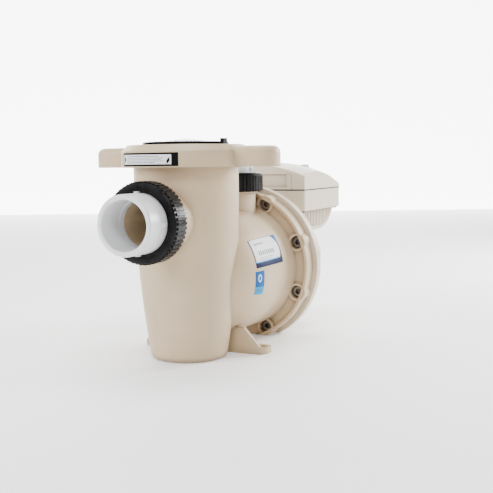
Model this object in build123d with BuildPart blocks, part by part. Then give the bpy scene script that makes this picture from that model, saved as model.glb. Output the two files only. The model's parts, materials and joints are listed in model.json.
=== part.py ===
"""Pool pump: a strainer pot and volute moulded in one piece, two pipe unions, a wet end,
a fan-cooled motor and a variable-speed drive on top of it.

Units are millimetres. The origin is the centre of the strainer pot's flat base, on the floor.
+X runs along the motor shaft towards the motor, +Z is up, and the suction pipe leaves along -X.
"""

from build123d import *
import math
import os

os.makedirs("parts", exist_ok=True)


# ---------------------------------------------------------------- driving dimensions

WALL = 6.0                    # moulded wall of the pot and the volute
RUN_GAP = 0.3                 # free gap between faces that turn or slide past each other
FIT = 0.05                    # radial clearance of a turned fit
SHAFT_Z = 104.0               # motor shaft above the floor

# strainer pot
POT_BASE_R = 50.0             # outside radius at the base
POT_MID_R = 63.6              # outside radius at POT_MID_Z
POT_TOP_R = 68.2              # outside radius under the rim
POT_EDGE_R = 8.0              # rounding of the base edge
POT_MID_Z = 112.0
RIM_Z = 250.0                 # underside of the rim
RIM_H = 28.4
RIM_R = 84.0
RIM_BEVEL = 8.5
EAR_R = 25.0                  # rounded tip of each ear
EAR_Y = 106.0                 # centre of an ear's tip from the pot's axis
EAR_DROP = 2.5                # an ear's deck below the rim's deck
EAR_EDGE_R = 9.0

# lid, lock ring and basket
SEAT_R = 66.0                 # recess that the lid drops into
SEAT_DEPTH = 16.4             # its seat below the rim's deck
MOUTH_R = 58.5                # opening that the basket passes
LID_FLANGE_T = 8.0
LID_DOME_R = 50.0
LID_RISE = 24.6               # top of the dome above the seat
LID_WALL = 3.5
DOME_RISE = 11.0
LID_CORD_R = 2.0
LID_GROOVE = 3.7
RING_H = 7.0                  # lock ring's body, inside the recess
RING_COLLAR_R = 56.0          # collar that stands round the dome
RING_COLLAR_H = 5.0
RING_CHAMFER = 1.2
RING_TAB_R = 61.0             # middle of the locking tab
RING_TAB_W = 5.0
RING_TAB_L = 11.0
RING_TAB_H = 8.7
RING_TAB_TURN = 260.0         # tab's bearing from the X axis, degrees
RING_RIBS = 40
RING_RIB_W = 2.4
RING_RIB_H = 1.2
BASKET_H = 168.0
BASKET_BASE_R = 41.0
BASKET_WALL = 2.2
BASKET_SLOTS = 24
BASKET_SLOT_W = 3.6
LEDGE_W = 2.5                 # ledge that the basket's lip rests on
LEDGE_H = 6.0
BASKET_LIP_T = 3.0
BASKET_ROWS = 4
BASKET_BAND = 5.0
BASKET_FOOT_H = 12.0          # plain wall below the slots
BASKET_PLAIN_H = 18.0         # plain wall above and below them together
BASKET_HOLES = 12
BASKET_HOLE_CIRCLE_R = 24.6
BASKET_HANDLE_W = 8.0
BASKET_HANDLE_H = 4.0

# volute drum
DRUM_FRONT_X = -14.0
DRUM_FRONT_R = 36.0
DRUM_SHOULDER_X = 22.0
DRUM_SHOULDER_R = 79.0
DRUM_MID_X = 85.0
DRUM_MID_R = 89.0
DRUM_BACK_R = 92.0
THROAT_R = 31.0               # passage from the pot to the impeller
CHAMBER_STEP = 6.0            # chamber's front part inside the seal plate's bore
CHAMBER_X = 92.0              # front wall of the impeller chamber
FLANGE_X = 157.0              # front face of the bolting flange
FLANGE_T = 20.0
FLANGE_R = 110.0
FOOT_CLEAR = 1.6              # flat underside of the flanges above the floor

# flange bolts
BOLT_CIRCLE_R = 100.0
BOLT_ANGLES = (26.3, 69.0, 111.0, 153.7)   # from straight up, on both sides
BOLT_R = 4.9
BOLT_HOLE_R = 5.3
BOLT_HEAD_R = 7.5
BOLT_HEAD_H = 8.0
BOLT_SOCKET_AF = 8.0
BOLT_SOCKET_DEPTH = 5.0
BOLT_SINK = 3.3               # head's face behind the flange's face
WASHER_R = 9.2
WASHER_T = 2.0
BOSS_R = 13.0
BOSS_H = 4.0
LIP_H = 5.0                   # raised edge round the front of the flange
LIP_W = 4.0

# pipe unions
SUCTION_Z = 184.0
UNION_FACE_X = -108.0         # end face of the suction spigot
DISCHARGE_X = 125.0
UNION_FACE_Z = 230.4          # end face of the discharge spigot
PORT_R = 28.6
NECK_R = 39.5
SPIGOT_R = 43.0
SPIGOT_L = 19.0
NUT_R = 48.7                  # root of the nut's ribs
NUT_RIB_H = 1.6
NUT_RIB_W = 3.7
NUT_RIBS = 54
NUT_LIP_T = 4.6
NUT_L = 26.5
NUT_PLAY = 0.5                # between the collar and the nut's lip
NUT_CHAMFER = 1.2
NUT_BAND = 4.0                # smooth band in front of the ribs
NUT_STEP_R = 42.0
NUT_STEP_T = 1.5
TAIL_R = 36.5                 # 2 1/2 inch pipe outside
TAIL_SOCKET_R = 30.2          # 2 inch slip socket
TAIL_SOCKET_L = 38.0
TAIL_STOP_R = PORT_R
TAIL_COLLAR_R = 41.5
TAIL_COLLAR_T = 5.0
TAIL_L = 46.4                 # mouth to spigot face
TAIL_CHAMFER = 1.2
NUBS = 4
NUB_H = 2.0
NUB_W = 5.0
NUB_L = 5.0
NUB_GAP = 3.0
SEAL_CORD_R = 1.7             # section of the union seals
SEAL_RING_R = 36.0

# feet
FOOT_X = 37.5
FOOT_L = 30.0
FOOT_REACH = 93.0             # outer end of a foot from the centre line
FOOT_WEB_T = 6.0
FOOT_PAD_H = 8.0
FOOT_BLOCK_HALF_W = 44.0
FOOT_RISE_Z = 31.0            # top of the sloping web where it meets the drum
FOOT_BOLT_Y = 78.0
FOOT_SLOT_R = 5.0
FOOT_SLOT_L = 10.0            # between the slot's end centres
FOOT_CORNER_R = 10.0
FOOT_WEB_END = 8.0            # web stops this far inside the foot's end
FOOT_WEB_TOE = 2.0            # height of the web above the pad at its toe
FOOT_WEB_RUN = 18.0           # level part of the web beyond the block
FOOT_WEB_RISE = 4.0           # its top above the block
FOOT_SLOT_X = FOOT_X + FOOT_L / 2 + FOOT_WEB_T / 2

# drain plugs
DRAIN_R = 8.0
DRAIN_HEAD_R = 12.0
DRAIN_HEAD_T = 6.0
DRAIN_BOSS_R = 14.0
DRAIN_CORD_R = 1.5
DRAIN_FLUTES = 6
DRAIN_FLUTE_R = 3.2
POT_DRAIN_X = 21.0
POT_DRAIN_Z = 28.0
POT_DRAIN_FACE_Y = 54.0
POT_DRAIN_L = 18.0
VOLUTE_DRAIN_X = 118.0
VOLUTE_DRAIN_Z = 44.0
VOLUTE_DRAIN_FACE_Y = 84.0
VOLUTE_DRAIN_L = 26.0

# wet end
SHAFT_R = 8.0
IMPELLER_R = 56.0
IMPELLER_X = 118.0            # front face of the impeller's shroud
IMPELLER_W = 22.0
IMPELLER_EYE_R = 26.0
IMPELLER_EYE_L = 6.0
EYE_WALL = 2.0
HUB_R = 13.0
VANES = 6
VANE_T = 3.0
SHROUD_T = 2.5
DIFFUSER_R = 74.0
DIFFUSER_WALL = 3.0
DIFFUSER_VANES = 9
DIFFUSER_X = 108.0            # front wall of the diffuser
DIFFUSER_SLEEVE_L = 20.0
SEAL_PLATE_T = 14.0
PLATE_FACE_X = 150.0          # wet face of the seal plate
PLATE_R = 117.0
SEAT_RING_R = 17.0
SEAT_RING_L = 8.0
GASKET_T = 2.0
PLATE_GROOVE_X = 163.0
PLATE_CORD_R = 1.7
SLINGER_ROOM = 10.0
SCREW_R = 3.0
SCREW_L = 20.0

# motor
MOTOR_R = 79.0
MOTOR_SKIN = 3.0
FRAME_L = 88.0
BELL_L = 16.0
BELL_REAR_R = 74.0
BELL_WALL = 6.0
BELL_BORE_GAP = 4.0
BEARING_R = 20.0
BEARING_W = 12.0
SHOULDER = 2.0                # shaft's shoulders at the bearings
END_RING_L = 8.0
RACE_T = 3.6
BALLS = 8
STATOR_L = 54.0
STATOR_SLOTS = 24
SLOT_W = 5.0
SLOT_DEPTH = 14.0
SLOT_MOUTH = 2.0
ROTOR_R = 44.4
AIR_GAP = 0.6
END_TURN_L = 13.0
FAN_R = 56.0
FAN_BLADES = 9
FAN_HUB_R = 16.0
FAN_L = 14.0
FAN_DISC_T = 2.5
COVER_L = 42.0
COVER_REAR_R = 59.0
COVER_MID_R = 68.4
COVER_FACE_R = 49.0
COVER_SLOTS = 12
COVER_SLOT_W = 5.0
COVER_SKIN = 2.5
TIE_BOLT_R = 2.5
TIE_CIRCLE_R = 66.0
TIE_BOLTS = 4
TIE_HEAD_H = 3.0
SUPPORT_X = 212.0
SUPPORT_L = 30.0
SUPPORT_HALF_W = 34.0
SUPPORT_PAD_T = 4.0

# drive
DRIVE_X = 230.0
DRIVE_L = 166.0
DRIVE_HALF_W = 78.0
DRIVE_Z = 180.0
SEAM_Z = 213.0
CROWN_Z = 254.0               # highest point of the crown
DRIVE_SECTIONS = (            # x, top of the side and top of the crown
    (230.0, 233.0, 250.0),
    (297.0, 239.0, 254.0),
    (345.0, 232.0, 247.0),
    (396.0, 217.0, 228.0),
)
FLOOR_Z = 190.0
FLOOR_T = 3.0
PANEL_DEPTH = 2.5
PANEL_TOP_Z = 236.0
DRIVE_SKIN = 3.0
DRIVE_CORNER_R = 9.0
SADDLE_X = 246.0
SADDLE_END_X = 381.0
SADDLE_HALF_W = 71.0
SADDLE_Z = 148.0
SADDLE_BEND_X = 325.0
SADDLE_BEND_R = 80.0
SADDLE_SKIN = 2.5
VENT_X = 253.0                # first vent slot
VENT_PITCH = 7.0
VENT_SLOTS = 18
VENT_W = 3.8
VENT_EDGE = 5.0               # frame left round the slots
GASKET_W = 4.0
DRIVE_SCREW_R = 2.5
DRIVE_POST_R = 6.0
SCREW_POST_H = 10.0
SCREW_INSET = 8.0
SINK_X = 300.0
SINK_L = 72.0
SINK_HALF_W = 60.0
SINK_T = 3.0
SINK_FINS = 14
FIN_T = 2.4
FIN_H = 8.0
BOARD_X = 252.0
BOARD_L = 118.0
BOARD_HALF_W = 62.0
BOARD_Z = 204.0
BOARD_T = 1.6
BOARD_POST_R = 4.0
CAP_X = 360.0
CAP_R = 9.0
CAP_H = 12.0
CAPS = 5
CONDUIT_R = 10.5
CONDUIT_BOSS_R = 14.0
CONDUIT_BOSS_H = 6.0
CONDUIT_BORE_R = 8.0          # passage behind the thread's shoulder
BUSHING_T = 2.0
CONDUIT_X = 262.0
CONDUIT_Z = 195.0
PANEL_RIB_Y = 52.5
PANEL_RIB_W = 7.0

# keypad under its flap
BAY_X = 262.0
BAY_L = 84.0
BAY_HALF_W = 44.0
BAY_FLOOR_Z = 230.0
PAD_T = 3.0
FLAP_T = 3.0
FLAP_GAP = 0.8
HINGE_R = 1.6
KNUCKLE_R = 3.4
KNUCKLE_L = 12.0
BUTTON_R = 5.0
BUTTON_H = 4.3
BUTTON_TRAVEL = 0.8
BUTTON_PITCH = 17.0
BUTTON_NAMES = ("button_speed_1", "button_speed_2", "button_speed_3", "button_speed_4", "button_start_stop")
WINDOW_L = 24.0
WINDOW_W = 52.0
WINDOW_T = 1.5
WINDOW_X = 270.0
BUTTON_X = 314.0
HINGE_Z = 247.0

# ---------------------------------------------------------------- derived places

DECK_Z = RIM_Z + RIM_H
SEAT_Z = DECK_Z - SEAT_DEPTH
LID_TOP_Z = SEAT_Z + LID_RISE
RING_FOOT_Z = SEAT_Z + LID_FLANGE_T + RUN_GAP
BASKET_LIP_R = MOUTH_R - 0.5
BASKET_TOP_R = MOUTH_R - LEDGE_W - 1.0
BASKET_Z = RIM_Z - BASKET_H
FLANGE_BACK_X = FLANGE_X + FLANGE_T
PLATE_BACK_X = FLANGE_BACK_X + SEAL_PLATE_T
CHAMBER_R = DRUM_BACK_R - WALL
HEAD_X = FLANGE_X + BOLT_SINK
BOLT_SEAT_X = HEAD_X + BOLT_HEAD_H + WASHER_T
FRAME_X = PLATE_BACK_X + BELL_L
FRAME_END_X = FRAME_X + FRAME_L
MOTOR_END_X = FRAME_END_X + BELL_L
FRONT_BEARING_X = PLATE_BACK_X + 3.0
REAR_BEARING_X = MOTOR_END_X - BEARING_W - 1.5
BEARING_HUB_R = BEARING_R + 5.0
STATOR_X = FRAME_X + (FRAME_L - STATOR_L) / 2
STATOR_R = MOTOR_R - MOTOR_SKIN - FIT
STATOR_BORE_R = ROTOR_R + AIR_GAP
FAN_X = MOTOR_END_X + 6.0
COVER_END_X = MOTOR_END_X + COVER_L
SHAFT_X = IMPELLER_X + 5.0
SHAFT_END_X = FAN_X + FAN_L
DRIVE_END_X = DRIVE_X + DRIVE_L
BAY_END_X = BAY_X + BAY_L
PAD_TOP_Z = BAY_FLOOR_Z + PAD_T
SCREW_POINTS = [
    (x, side * (DRIVE_HALF_W - SCREW_INSET))
    for x in (DRIVE_X + SCREW_INSET, DRIVE_END_X - SCREW_INSET)
    for side in (-1, 1)
]
BOARD_POSTS = [
    (x, side * (BOARD_HALF_W - BOARD_POST_R))
    for x in (BOARD_X + BOARD_POST_R, SINK_X - BOARD_POST_R)
    for side in (-1, 1)
]
BUTTON_POINTS = [
    (BUTTON_X, (k - (len(BUTTON_NAMES) - 1) / 2) * BUTTON_PITCH) for k in range(len(BUTTON_NAMES))
]
FLAT_Z = FOOT_CLEAR
DRAINS = (                    # x, z, face and depth of each drain boss
    (POT_DRAIN_X, POT_DRAIN_Z, POT_DRAIN_FACE_Y, POT_DRAIN_L),
    (VOLUTE_DRAIN_X, VOLUTE_DRAIN_Z, VOLUTE_DRAIN_FACE_Y, VOLUTE_DRAIN_L),
)
SHAFT_AXIS = Axis((0, 0, SHAFT_Z), (1, 0, 0))
SHAFT_LINE = Plane(origin=(0, 0, SHAFT_Z), x_dir=(0, 1, 0), z_dir=(1, 0, 0))
SUCTION_LINE = Plane(origin=(0, 0, SUCTION_Z), x_dir=(0, 1, 0), z_dir=(1, 0, 0))


# ---------------------------------------------------------------- helpers

def across(x):
    """Plane square to the shaft at x: local x runs along +Y, local y up from the shaft."""
    return SHAFT_LINE.offset(x)


def write(piece, name):
    """Label a finished piece and write its STEP file."""
    piece.label = name
    export_step(piece, f"parts/{name}.step")


def rod(plane, radius, length):
    """Plain round bar standing on a plane."""
    with BuildPart() as bar:
        with BuildSketch(plane):
            Circle(radius)
        extrude(amount=length)
    return bar.part


def tube(plane, outer, inner, length):
    """Plain sleeve standing on a plane."""
    with BuildPart() as sleeve:
        with BuildSketch(plane):
            Circle(outer)
            Circle(inner, mode=Mode.SUBTRACT)
        extrude(amount=length)
    return sleeve.part


def seal_ring(plane, ring_r, cord_r):
    """Round-section sealing ring centred on a plane."""
    with BuildPart(plane) as ring:
        Torus(ring_r, cord_r)
    return ring.part


def slab(x_min, x_max, half_w, z_min, z_max):
    """Block that lies evenly on both sides of the centre line."""
    with BuildPart() as block:
        with BuildSketch(Plane.XY.offset(z_min)):
            with Locations(((x_min + x_max) / 2, 0)):
                Rectangle(x_max - x_min, 2 * half_w)
        extrude(amount=z_max - z_min)
    return block.part


def turned(*points):
    """Ring or disc turned about the shaft from (x, radius) corners."""
    with BuildPart() as body:
        with BuildSketch(Plane.XZ):
            Polygon(*[(x, SHAFT_Z + r) for x, r in points], align=None)
        revolve(axis=SHAFT_AXIS)
    return body.part


def bolt_points():
    """Centres of the flange bolts on a plane square to the shaft."""
    return [
        (side * BOLT_CIRCLE_R * math.sin(math.radians(a)), BOLT_CIRCLE_R * math.cos(math.radians(a)))
        for side in (-1, 1)
        for a in BOLT_ANGLES
    ]


def cut_flat(x_min, x_max):
    """Block under the flat underside of the flanges."""
    return slab(x_min, x_max, 2 * PLATE_R, SHAFT_Z - 2 * PLATE_R, FLAT_Z)


# ---------------------------------------------------------------- pump housing

def pot_shape(inset, base_z, top_z):
    """Turned body of the pot, inset from its outside, between two heights."""
    with BuildPart() as body:
        with BuildSketch(Plane.XZ):
            with BuildLine():
                wall = ThreePointArc(
                    (POT_BASE_R - inset, base_z), (POT_MID_R - inset, POT_MID_Z), (POT_TOP_R - inset, top_z)
                )
                Line(wall @ 1, (0, top_z))
                Line((0, top_z), (0, base_z))
                Line((0, base_z), wall @ 0)
            make_face()
        revolve(axis=Axis.Z)
        fillet(body.edges().group_by(Axis.Z)[0], POT_EDGE_R)
    return body.part


def drum_shape():
    """Turned body of the volute drum, closed at its front by a rounded nose."""
    with BuildPart() as body:
        with BuildSketch(Plane.XZ):
            with BuildLine():
                nose = Spline(
                    (DRUM_FRONT_X, SHAFT_Z + DRUM_FRONT_R),
                    (DRUM_SHOULDER_X, SHAFT_Z + DRUM_SHOULDER_R),
                    (DRUM_MID_X, SHAFT_Z + DRUM_MID_R),
                    (FLANGE_X, SHAFT_Z + DRUM_BACK_R),
                )
                Line(nose @ 1, (FLANGE_X, SHAFT_Z))
                Line((FLANGE_X, SHAFT_Z), (DRUM_FRONT_X, SHAFT_Z))
                Line((DRUM_FRONT_X, SHAFT_Z), nose @ 0)
            make_face()
        revolve(axis=SHAFT_AXIS)
    return body.part


def rim_shape():
    """Rim of the pot with its two ears, before the lid's recess is cut."""
    with BuildPart() as rim:
        with BuildSketch(Plane.XY.offset(RIM_Z)):
            SlotCenterToCenter(2 * EAR_Y, 2 * EAR_R, rotation=90)
        extrude(amount=RIM_H - EAR_DROP)
        fillet(rim.edges().group_by(Axis.Z)[-1], EAR_EDGE_R)
        with BuildSketch(Plane.XY.offset(RIM_Z)):
            Circle(RIM_R)
        extrude(amount=RIM_H - RIM_BEVEL)
        with BuildSketch(Plane.XY.offset(DECK_Z - RIM_BEVEL)):
            Circle(RIM_R)
        extrude(amount=RIM_BEVEL, taper=45)
    return rim.part


def foot_shape():
    """Cross bar with an anchor slot at each end and a sloping web up to the drum."""
    web_end = FOOT_REACH - FOOT_WEB_END
    web_top = FOOT_BLOCK_HALF_W + FOOT_WEB_RUN
    with BuildPart() as foot:
        with BuildSketch(Plane.XY):
            with Locations((FOOT_X + FOOT_L / 2, 0)):
                RectangleRounded(FOOT_L, 2 * FOOT_REACH, FOOT_CORNER_R)
        extrude(amount=FOOT_PAD_H)
        with BuildSketch(Plane.XY):
            with Locations((FOOT_X + FOOT_L / 2, 0)):
                Rectangle(FOOT_L, 2 * FOOT_BLOCK_HALF_W)
        extrude(amount=FOOT_RISE_Z)
        with BuildSketch(Plane(origin=(FOOT_X, 0, 0), x_dir=(0, 1, 0), z_dir=(1, 0, 0))):
            Polygon(
                (-web_end, 0),
                (web_end, 0),
                (web_end, FOOT_PAD_H + FOOT_WEB_TOE),
                (web_top, FOOT_RISE_Z + FOOT_WEB_RISE),
                (-web_top, FOOT_RISE_Z + FOOT_WEB_RISE),
                (-web_end, FOOT_PAD_H + FOOT_WEB_TOE),
                align=None,
            )
        extrude(amount=FOOT_WEB_T)
        with BuildSketch(Plane.XY):
            with Locations((FOOT_SLOT_X, FOOT_BOLT_Y), (FOOT_SLOT_X, -FOOT_BOLT_Y)):
                SlotCenterToCenter(FOOT_SLOT_L, 2 * FOOT_SLOT_R, rotation=90)
        extrude(amount=FOOT_PAD_H, mode=Mode.SUBTRACT)
    return foot.part


def flange_shape():
    """Bolting flange behind the drum, with a raised boss at each bolt."""
    with BuildPart() as flange:
        with BuildSketch(across(FLANGE_X)):
            Circle(FLANGE_R)
        extrude(amount=FLANGE_T)
        with BuildSketch(across(FLANGE_X - BOSS_H)):
            with Locations(bolt_points()):
                Circle(BOSS_R)
        extrude(amount=BOSS_H + FLANGE_T)
        with BuildSketch(across(FLANGE_X - LIP_H)):
            Circle(FLANGE_R)
            Circle(FLANGE_R - LIP_W, mode=Mode.SUBTRACT)
        extrude(amount=LIP_H)
        add(cut_flat(FLANGE_X - LIP_H - 1, FLANGE_BACK_X + 1), mode=Mode.SUBTRACT)
    return flange.part


with BuildPart() as housing:
    add(drum_shape())
    add(pot_shape(0, 0, RIM_Z))
    # suction neck and spigot
    with BuildSketch(SUCTION_LINE):
        Circle(NECK_R)
    extrude(amount=UNION_FACE_X + SPIGOT_L)
    with BuildSketch(SUCTION_LINE.offset(UNION_FACE_X)):
        Circle(SPIGOT_R)
    extrude(amount=SPIGOT_L)
    # discharge neck and spigot
    with BuildSketch(Plane.XY.offset(SHAFT_Z)):
        with Locations((DISCHARGE_X, 0)):
            Circle(NECK_R)
    extrude(amount=UNION_FACE_Z - SHAFT_Z)
    with BuildSketch(Plane.XY.offset(UNION_FACE_Z - SPIGOT_L)):
        with Locations((DISCHARGE_X, 0)):
            Circle(SPIGOT_R)
    extrude(amount=SPIGOT_L)
    add(rim_shape())
    add(foot_shape())
    add(flange_shape())
    # inside of the pot, the basket's ledge, the mouth and the lid's recess
    add(pot_shape(WALL, WALL, RIM_Z - LEDGE_H), mode=Mode.SUBTRACT)
    with BuildSketch(Plane.XY.offset(RIM_Z - LEDGE_H)):
        Circle(MOUTH_R - LEDGE_W)
    extrude(amount=LEDGE_H, mode=Mode.SUBTRACT)
    with BuildSketch(Plane.XY.offset(RIM_Z)):
        Circle(MOUTH_R)
    extrude(amount=RIM_H, mode=Mode.SUBTRACT)
    with BuildSketch(Plane.XY.offset(SEAT_Z)):
        Circle(SEAT_R)
    extrude(amount=SEAT_DEPTH, mode=Mode.SUBTRACT)
    # suction passage, throat into the impeller chamber, chamber and discharge passage
    with BuildSketch(SUCTION_LINE.offset(UNION_FACE_X)):
        Circle(PORT_R)
    extrude(amount=-UNION_FACE_X - POT_MID_R / 2, mode=Mode.SUBTRACT)
    with BuildSketch(across(POT_MID_R / 2)):
        Circle(THROAT_R)
    extrude(amount=CHAMBER_X - POT_MID_R / 2 + 1, mode=Mode.SUBTRACT)
    with BuildSketch(across(CHAMBER_X)):
        Circle(CHAMBER_R - CHAMBER_STEP)
    extrude(amount=FLANGE_BACK_X - CHAMBER_X, mode=Mode.SUBTRACT)
    with BuildSketch(across(PLATE_FACE_X - 2)):
        Circle(CHAMBER_R)
    extrude(amount=FLANGE_BACK_X - PLATE_FACE_X + 2, mode=Mode.SUBTRACT)
    with BuildSketch(Plane.XY.offset(SHAFT_Z + CHAMBER_R / 2)):
        with Locations((DISCHARGE_X, 0)):
            Circle(PORT_R)
    extrude(amount=UNION_FACE_Z - SHAFT_Z - CHAMBER_R / 2, mode=Mode.SUBTRACT)
    # grooves for the union seals
    with BuildSketch(SUCTION_LINE.offset(UNION_FACE_X)):
        Circle(SEAL_RING_R + SEAL_CORD_R)
        Circle(SEAL_RING_R - SEAL_CORD_R, mode=Mode.SUBTRACT)
    extrude(amount=2 * SEAL_CORD_R, mode=Mode.SUBTRACT)
    with BuildSketch(Plane.XY.offset(UNION_FACE_Z)):
        with Locations((DISCHARGE_X, 0)):
            Circle(SEAL_RING_R + SEAL_CORD_R)
            Circle(SEAL_RING_R - SEAL_CORD_R, mode=Mode.SUBTRACT)
    extrude(amount=-2 * SEAL_CORD_R, mode=Mode.SUBTRACT)
    # bolt holes, sunk for the heads
    with BuildSketch(across(FLANGE_X - BOSS_H)):
        with Locations(bolt_points()):
            Circle(BOLT_HOLE_R)
    extrude(amount=FLANGE_T + BOSS_H, mode=Mode.SUBTRACT)
    with BuildSketch(across(FLANGE_X - BOSS_H)):
        with Locations(bolt_points()):
            Circle(WASHER_R + RUN_GAP)
    extrude(amount=BOLT_SEAT_X - FLANGE_X + BOSS_H, mode=Mode.SUBTRACT)
    # drain bosses on the far side
    for x, z, face_y, depth in DRAINS:
        with BuildSketch(Plane(origin=(x, face_y, z), x_dir=(1, 0, 0), z_dir=(0, -1, 0))):
            Circle(DRAIN_BOSS_R)
        extrude(amount=depth - WALL / 2)
        with BuildSketch(Plane(origin=(x, face_y, z), x_dir=(1, 0, 0), z_dir=(0, -1, 0))):
            Circle(DRAIN_R + RUN_GAP)
        extrude(amount=depth + WALL, mode=Mode.SUBTRACT)
write(housing.part, "pump_housing")


# ---------------------------------------------------------------- pipe unions

def union_nut(face):
    """Ribbed nut of a union; face is the plane of the spigot's end, looking outwards."""
    front = TAIL_COLLAR_T + NUT_PLAY + NUT_LIP_T
    with BuildPart() as nut:
        with BuildSketch(face.offset(front)):
            Circle(NUT_R)
        extrude(amount=-NUT_L)
        chamfer(nut.edges().group_by(SortBy.LENGTH)[-1], NUT_CHAMFER)
        with BuildSketch(face.offset(front - NUT_BAND)):
            with PolarLocations(NUT_R + NUT_RIB_H / 2 - NUT_CHAMFER / 2, NUT_RIBS):
                Rectangle(NUT_RIB_H + NUT_CHAMFER, NUT_RIB_W)
        extrude(amount=NUT_BAND + NUT_CHAMFER - NUT_L)
        with BuildSketch(face.offset(front)):
            Circle(TAIL_R + 2 * RUN_GAP)
        extrude(amount=-NUT_L, mode=Mode.SUBTRACT)
        with BuildSketch(face.offset(front)):
            Circle(NUT_STEP_R)
        extrude(amount=-NUT_STEP_T, mode=Mode.SUBTRACT)
        with BuildSketch(face.offset(front - NUT_LIP_T)):
            Circle(SPIGOT_R + RUN_GAP)
        extrude(amount=NUT_LIP_T - NUT_L, mode=Mode.SUBTRACT)
    return nut.part


def tailpiece(face):
    """Slip socket with the collar that the nut pulls onto the spigot."""
    with BuildPart() as tail:
        with BuildSketch(face):
            Circle(TAIL_R)
        extrude(amount=TAIL_L)
        with BuildSketch(face):
            Circle(TAIL_COLLAR_R)
        extrude(amount=TAIL_COLLAR_T)
        with BuildSketch(face.offset(TAIL_COLLAR_T + NUT_PLAY + NUT_LIP_T + NUB_GAP)):
            with PolarLocations(TAIL_R, NUBS):
                Rectangle(2 * NUB_H, NUB_W)
        extrude(amount=NUB_L)
        with BuildSketch(face.offset(TAIL_L - TAIL_SOCKET_L)):
            Circle(TAIL_SOCKET_R)
        extrude(amount=TAIL_SOCKET_L, mode=Mode.SUBTRACT)
        with BuildSketch(face):
            Circle(TAIL_STOP_R)
        extrude(amount=TAIL_L, mode=Mode.SUBTRACT)
        chamfer(tail.faces().sort_by(Axis(face.origin, face.z_dir))[-1].edges(), TAIL_CHAMFER)
    return tail.part


SUCTION_FACE = Plane(origin=(UNION_FACE_X, 0, SUCTION_Z), x_dir=(0, -1, 0), z_dir=(-1, 0, 0))
DISCHARGE_FACE = Plane(origin=(DISCHARGE_X, 0, UNION_FACE_Z), x_dir=(1, 0, 0), z_dir=(0, 0, 1))

for side, face in (("suction", SUCTION_FACE), ("discharge", DISCHARGE_FACE)):
    write(union_nut(face), f"{side}_union_nut")
    write(tailpiece(face), f"{side}_tailpiece")
    write(seal_ring(face.offset(-SEAL_CORD_R), SEAL_RING_R, SEAL_CORD_R), f"{side}_o_ring")


# ---------------------------------------------------------------- lid, lock ring and basket

def dome_shape(radius, top_z):
    """Round body under a shallow dome, from the lid's seat up to top_z."""
    with BuildPart() as body:
        with BuildSketch(Plane.XZ):
            with BuildLine():
                crown = TangentArc((0, top_z), (radius, top_z - DOME_RISE), tangent=(1, 0))
                Polyline(crown @ 1, (radius, SEAT_Z), (0, SEAT_Z), crown @ 0)
            make_face()
        revolve(axis=Axis.Z)
    return body.part


with BuildPart() as lid:
    with BuildSketch(Plane.XY.offset(SEAT_Z)):
        Circle(SEAT_R - RUN_GAP)
    extrude(amount=LID_FLANGE_T)
    add(dome_shape(LID_DOME_R, LID_TOP_Z))
    add(dome_shape(LID_DOME_R - LID_WALL, LID_TOP_Z - LID_WALL), mode=Mode.SUBTRACT)
    with BuildSketch(Plane.XY.offset(SEAT_Z + LID_FLANGE_T / 2 - LID_CORD_R)):
        Circle(SEAT_R)
        Circle(SEAT_R - RUN_GAP - LID_GROOVE, mode=Mode.SUBTRACT)
    extrude(amount=2 * LID_CORD_R, mode=Mode.SUBTRACT)
write(lid.part, "lid")
write(
    seal_ring(
        Plane.XY.offset(SEAT_Z + LID_FLANGE_T / 2), SEAT_R - RUN_GAP - LID_GROOVE + LID_CORD_R, LID_CORD_R
    ),
    "lid_o_ring",
)

with BuildPart() as lock_ring:
    with BuildSketch(Plane.XY.offset(RING_FOOT_Z)):
        Circle(SEAT_R - 2 * RUN_GAP)
    extrude(amount=RING_H)
    with BuildSketch(Plane.XY.offset(RING_FOOT_Z)):
        Circle(RING_COLLAR_R)
    extrude(amount=RING_H + RING_COLLAR_H)
    chamfer(lock_ring.edges().group_by(Axis.Z)[-1], RING_CHAMFER)
    with BuildSketch(Plane.XY.offset(RING_FOOT_Z + RING_H)):
        with PolarLocations((SEAT_R + RING_COLLAR_R) / 2 - RUN_GAP, RING_RIBS):
            Rectangle(SEAT_R - RING_COLLAR_R - 2 * RING_RIB_W, RING_RIB_W)
    extrude(amount=RING_RIB_H)
    with BuildSketch(Plane.XY.offset(RING_FOOT_Z + RING_H)):
        with PolarLocations(RING_TAB_R, 1, start_angle=RING_TAB_TURN):
            RectangleRounded(RING_TAB_W, RING_TAB_L, RING_TAB_W / 3)
    extrude(amount=RING_TAB_H)
    with BuildSketch(Plane.XY.offset(RING_FOOT_Z)):
        Circle(LID_DOME_R + 2 * RUN_GAP)
    extrude(amount=RIM_H, mode=Mode.SUBTRACT)
write(lock_ring.part, "lock_ring")

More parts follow.
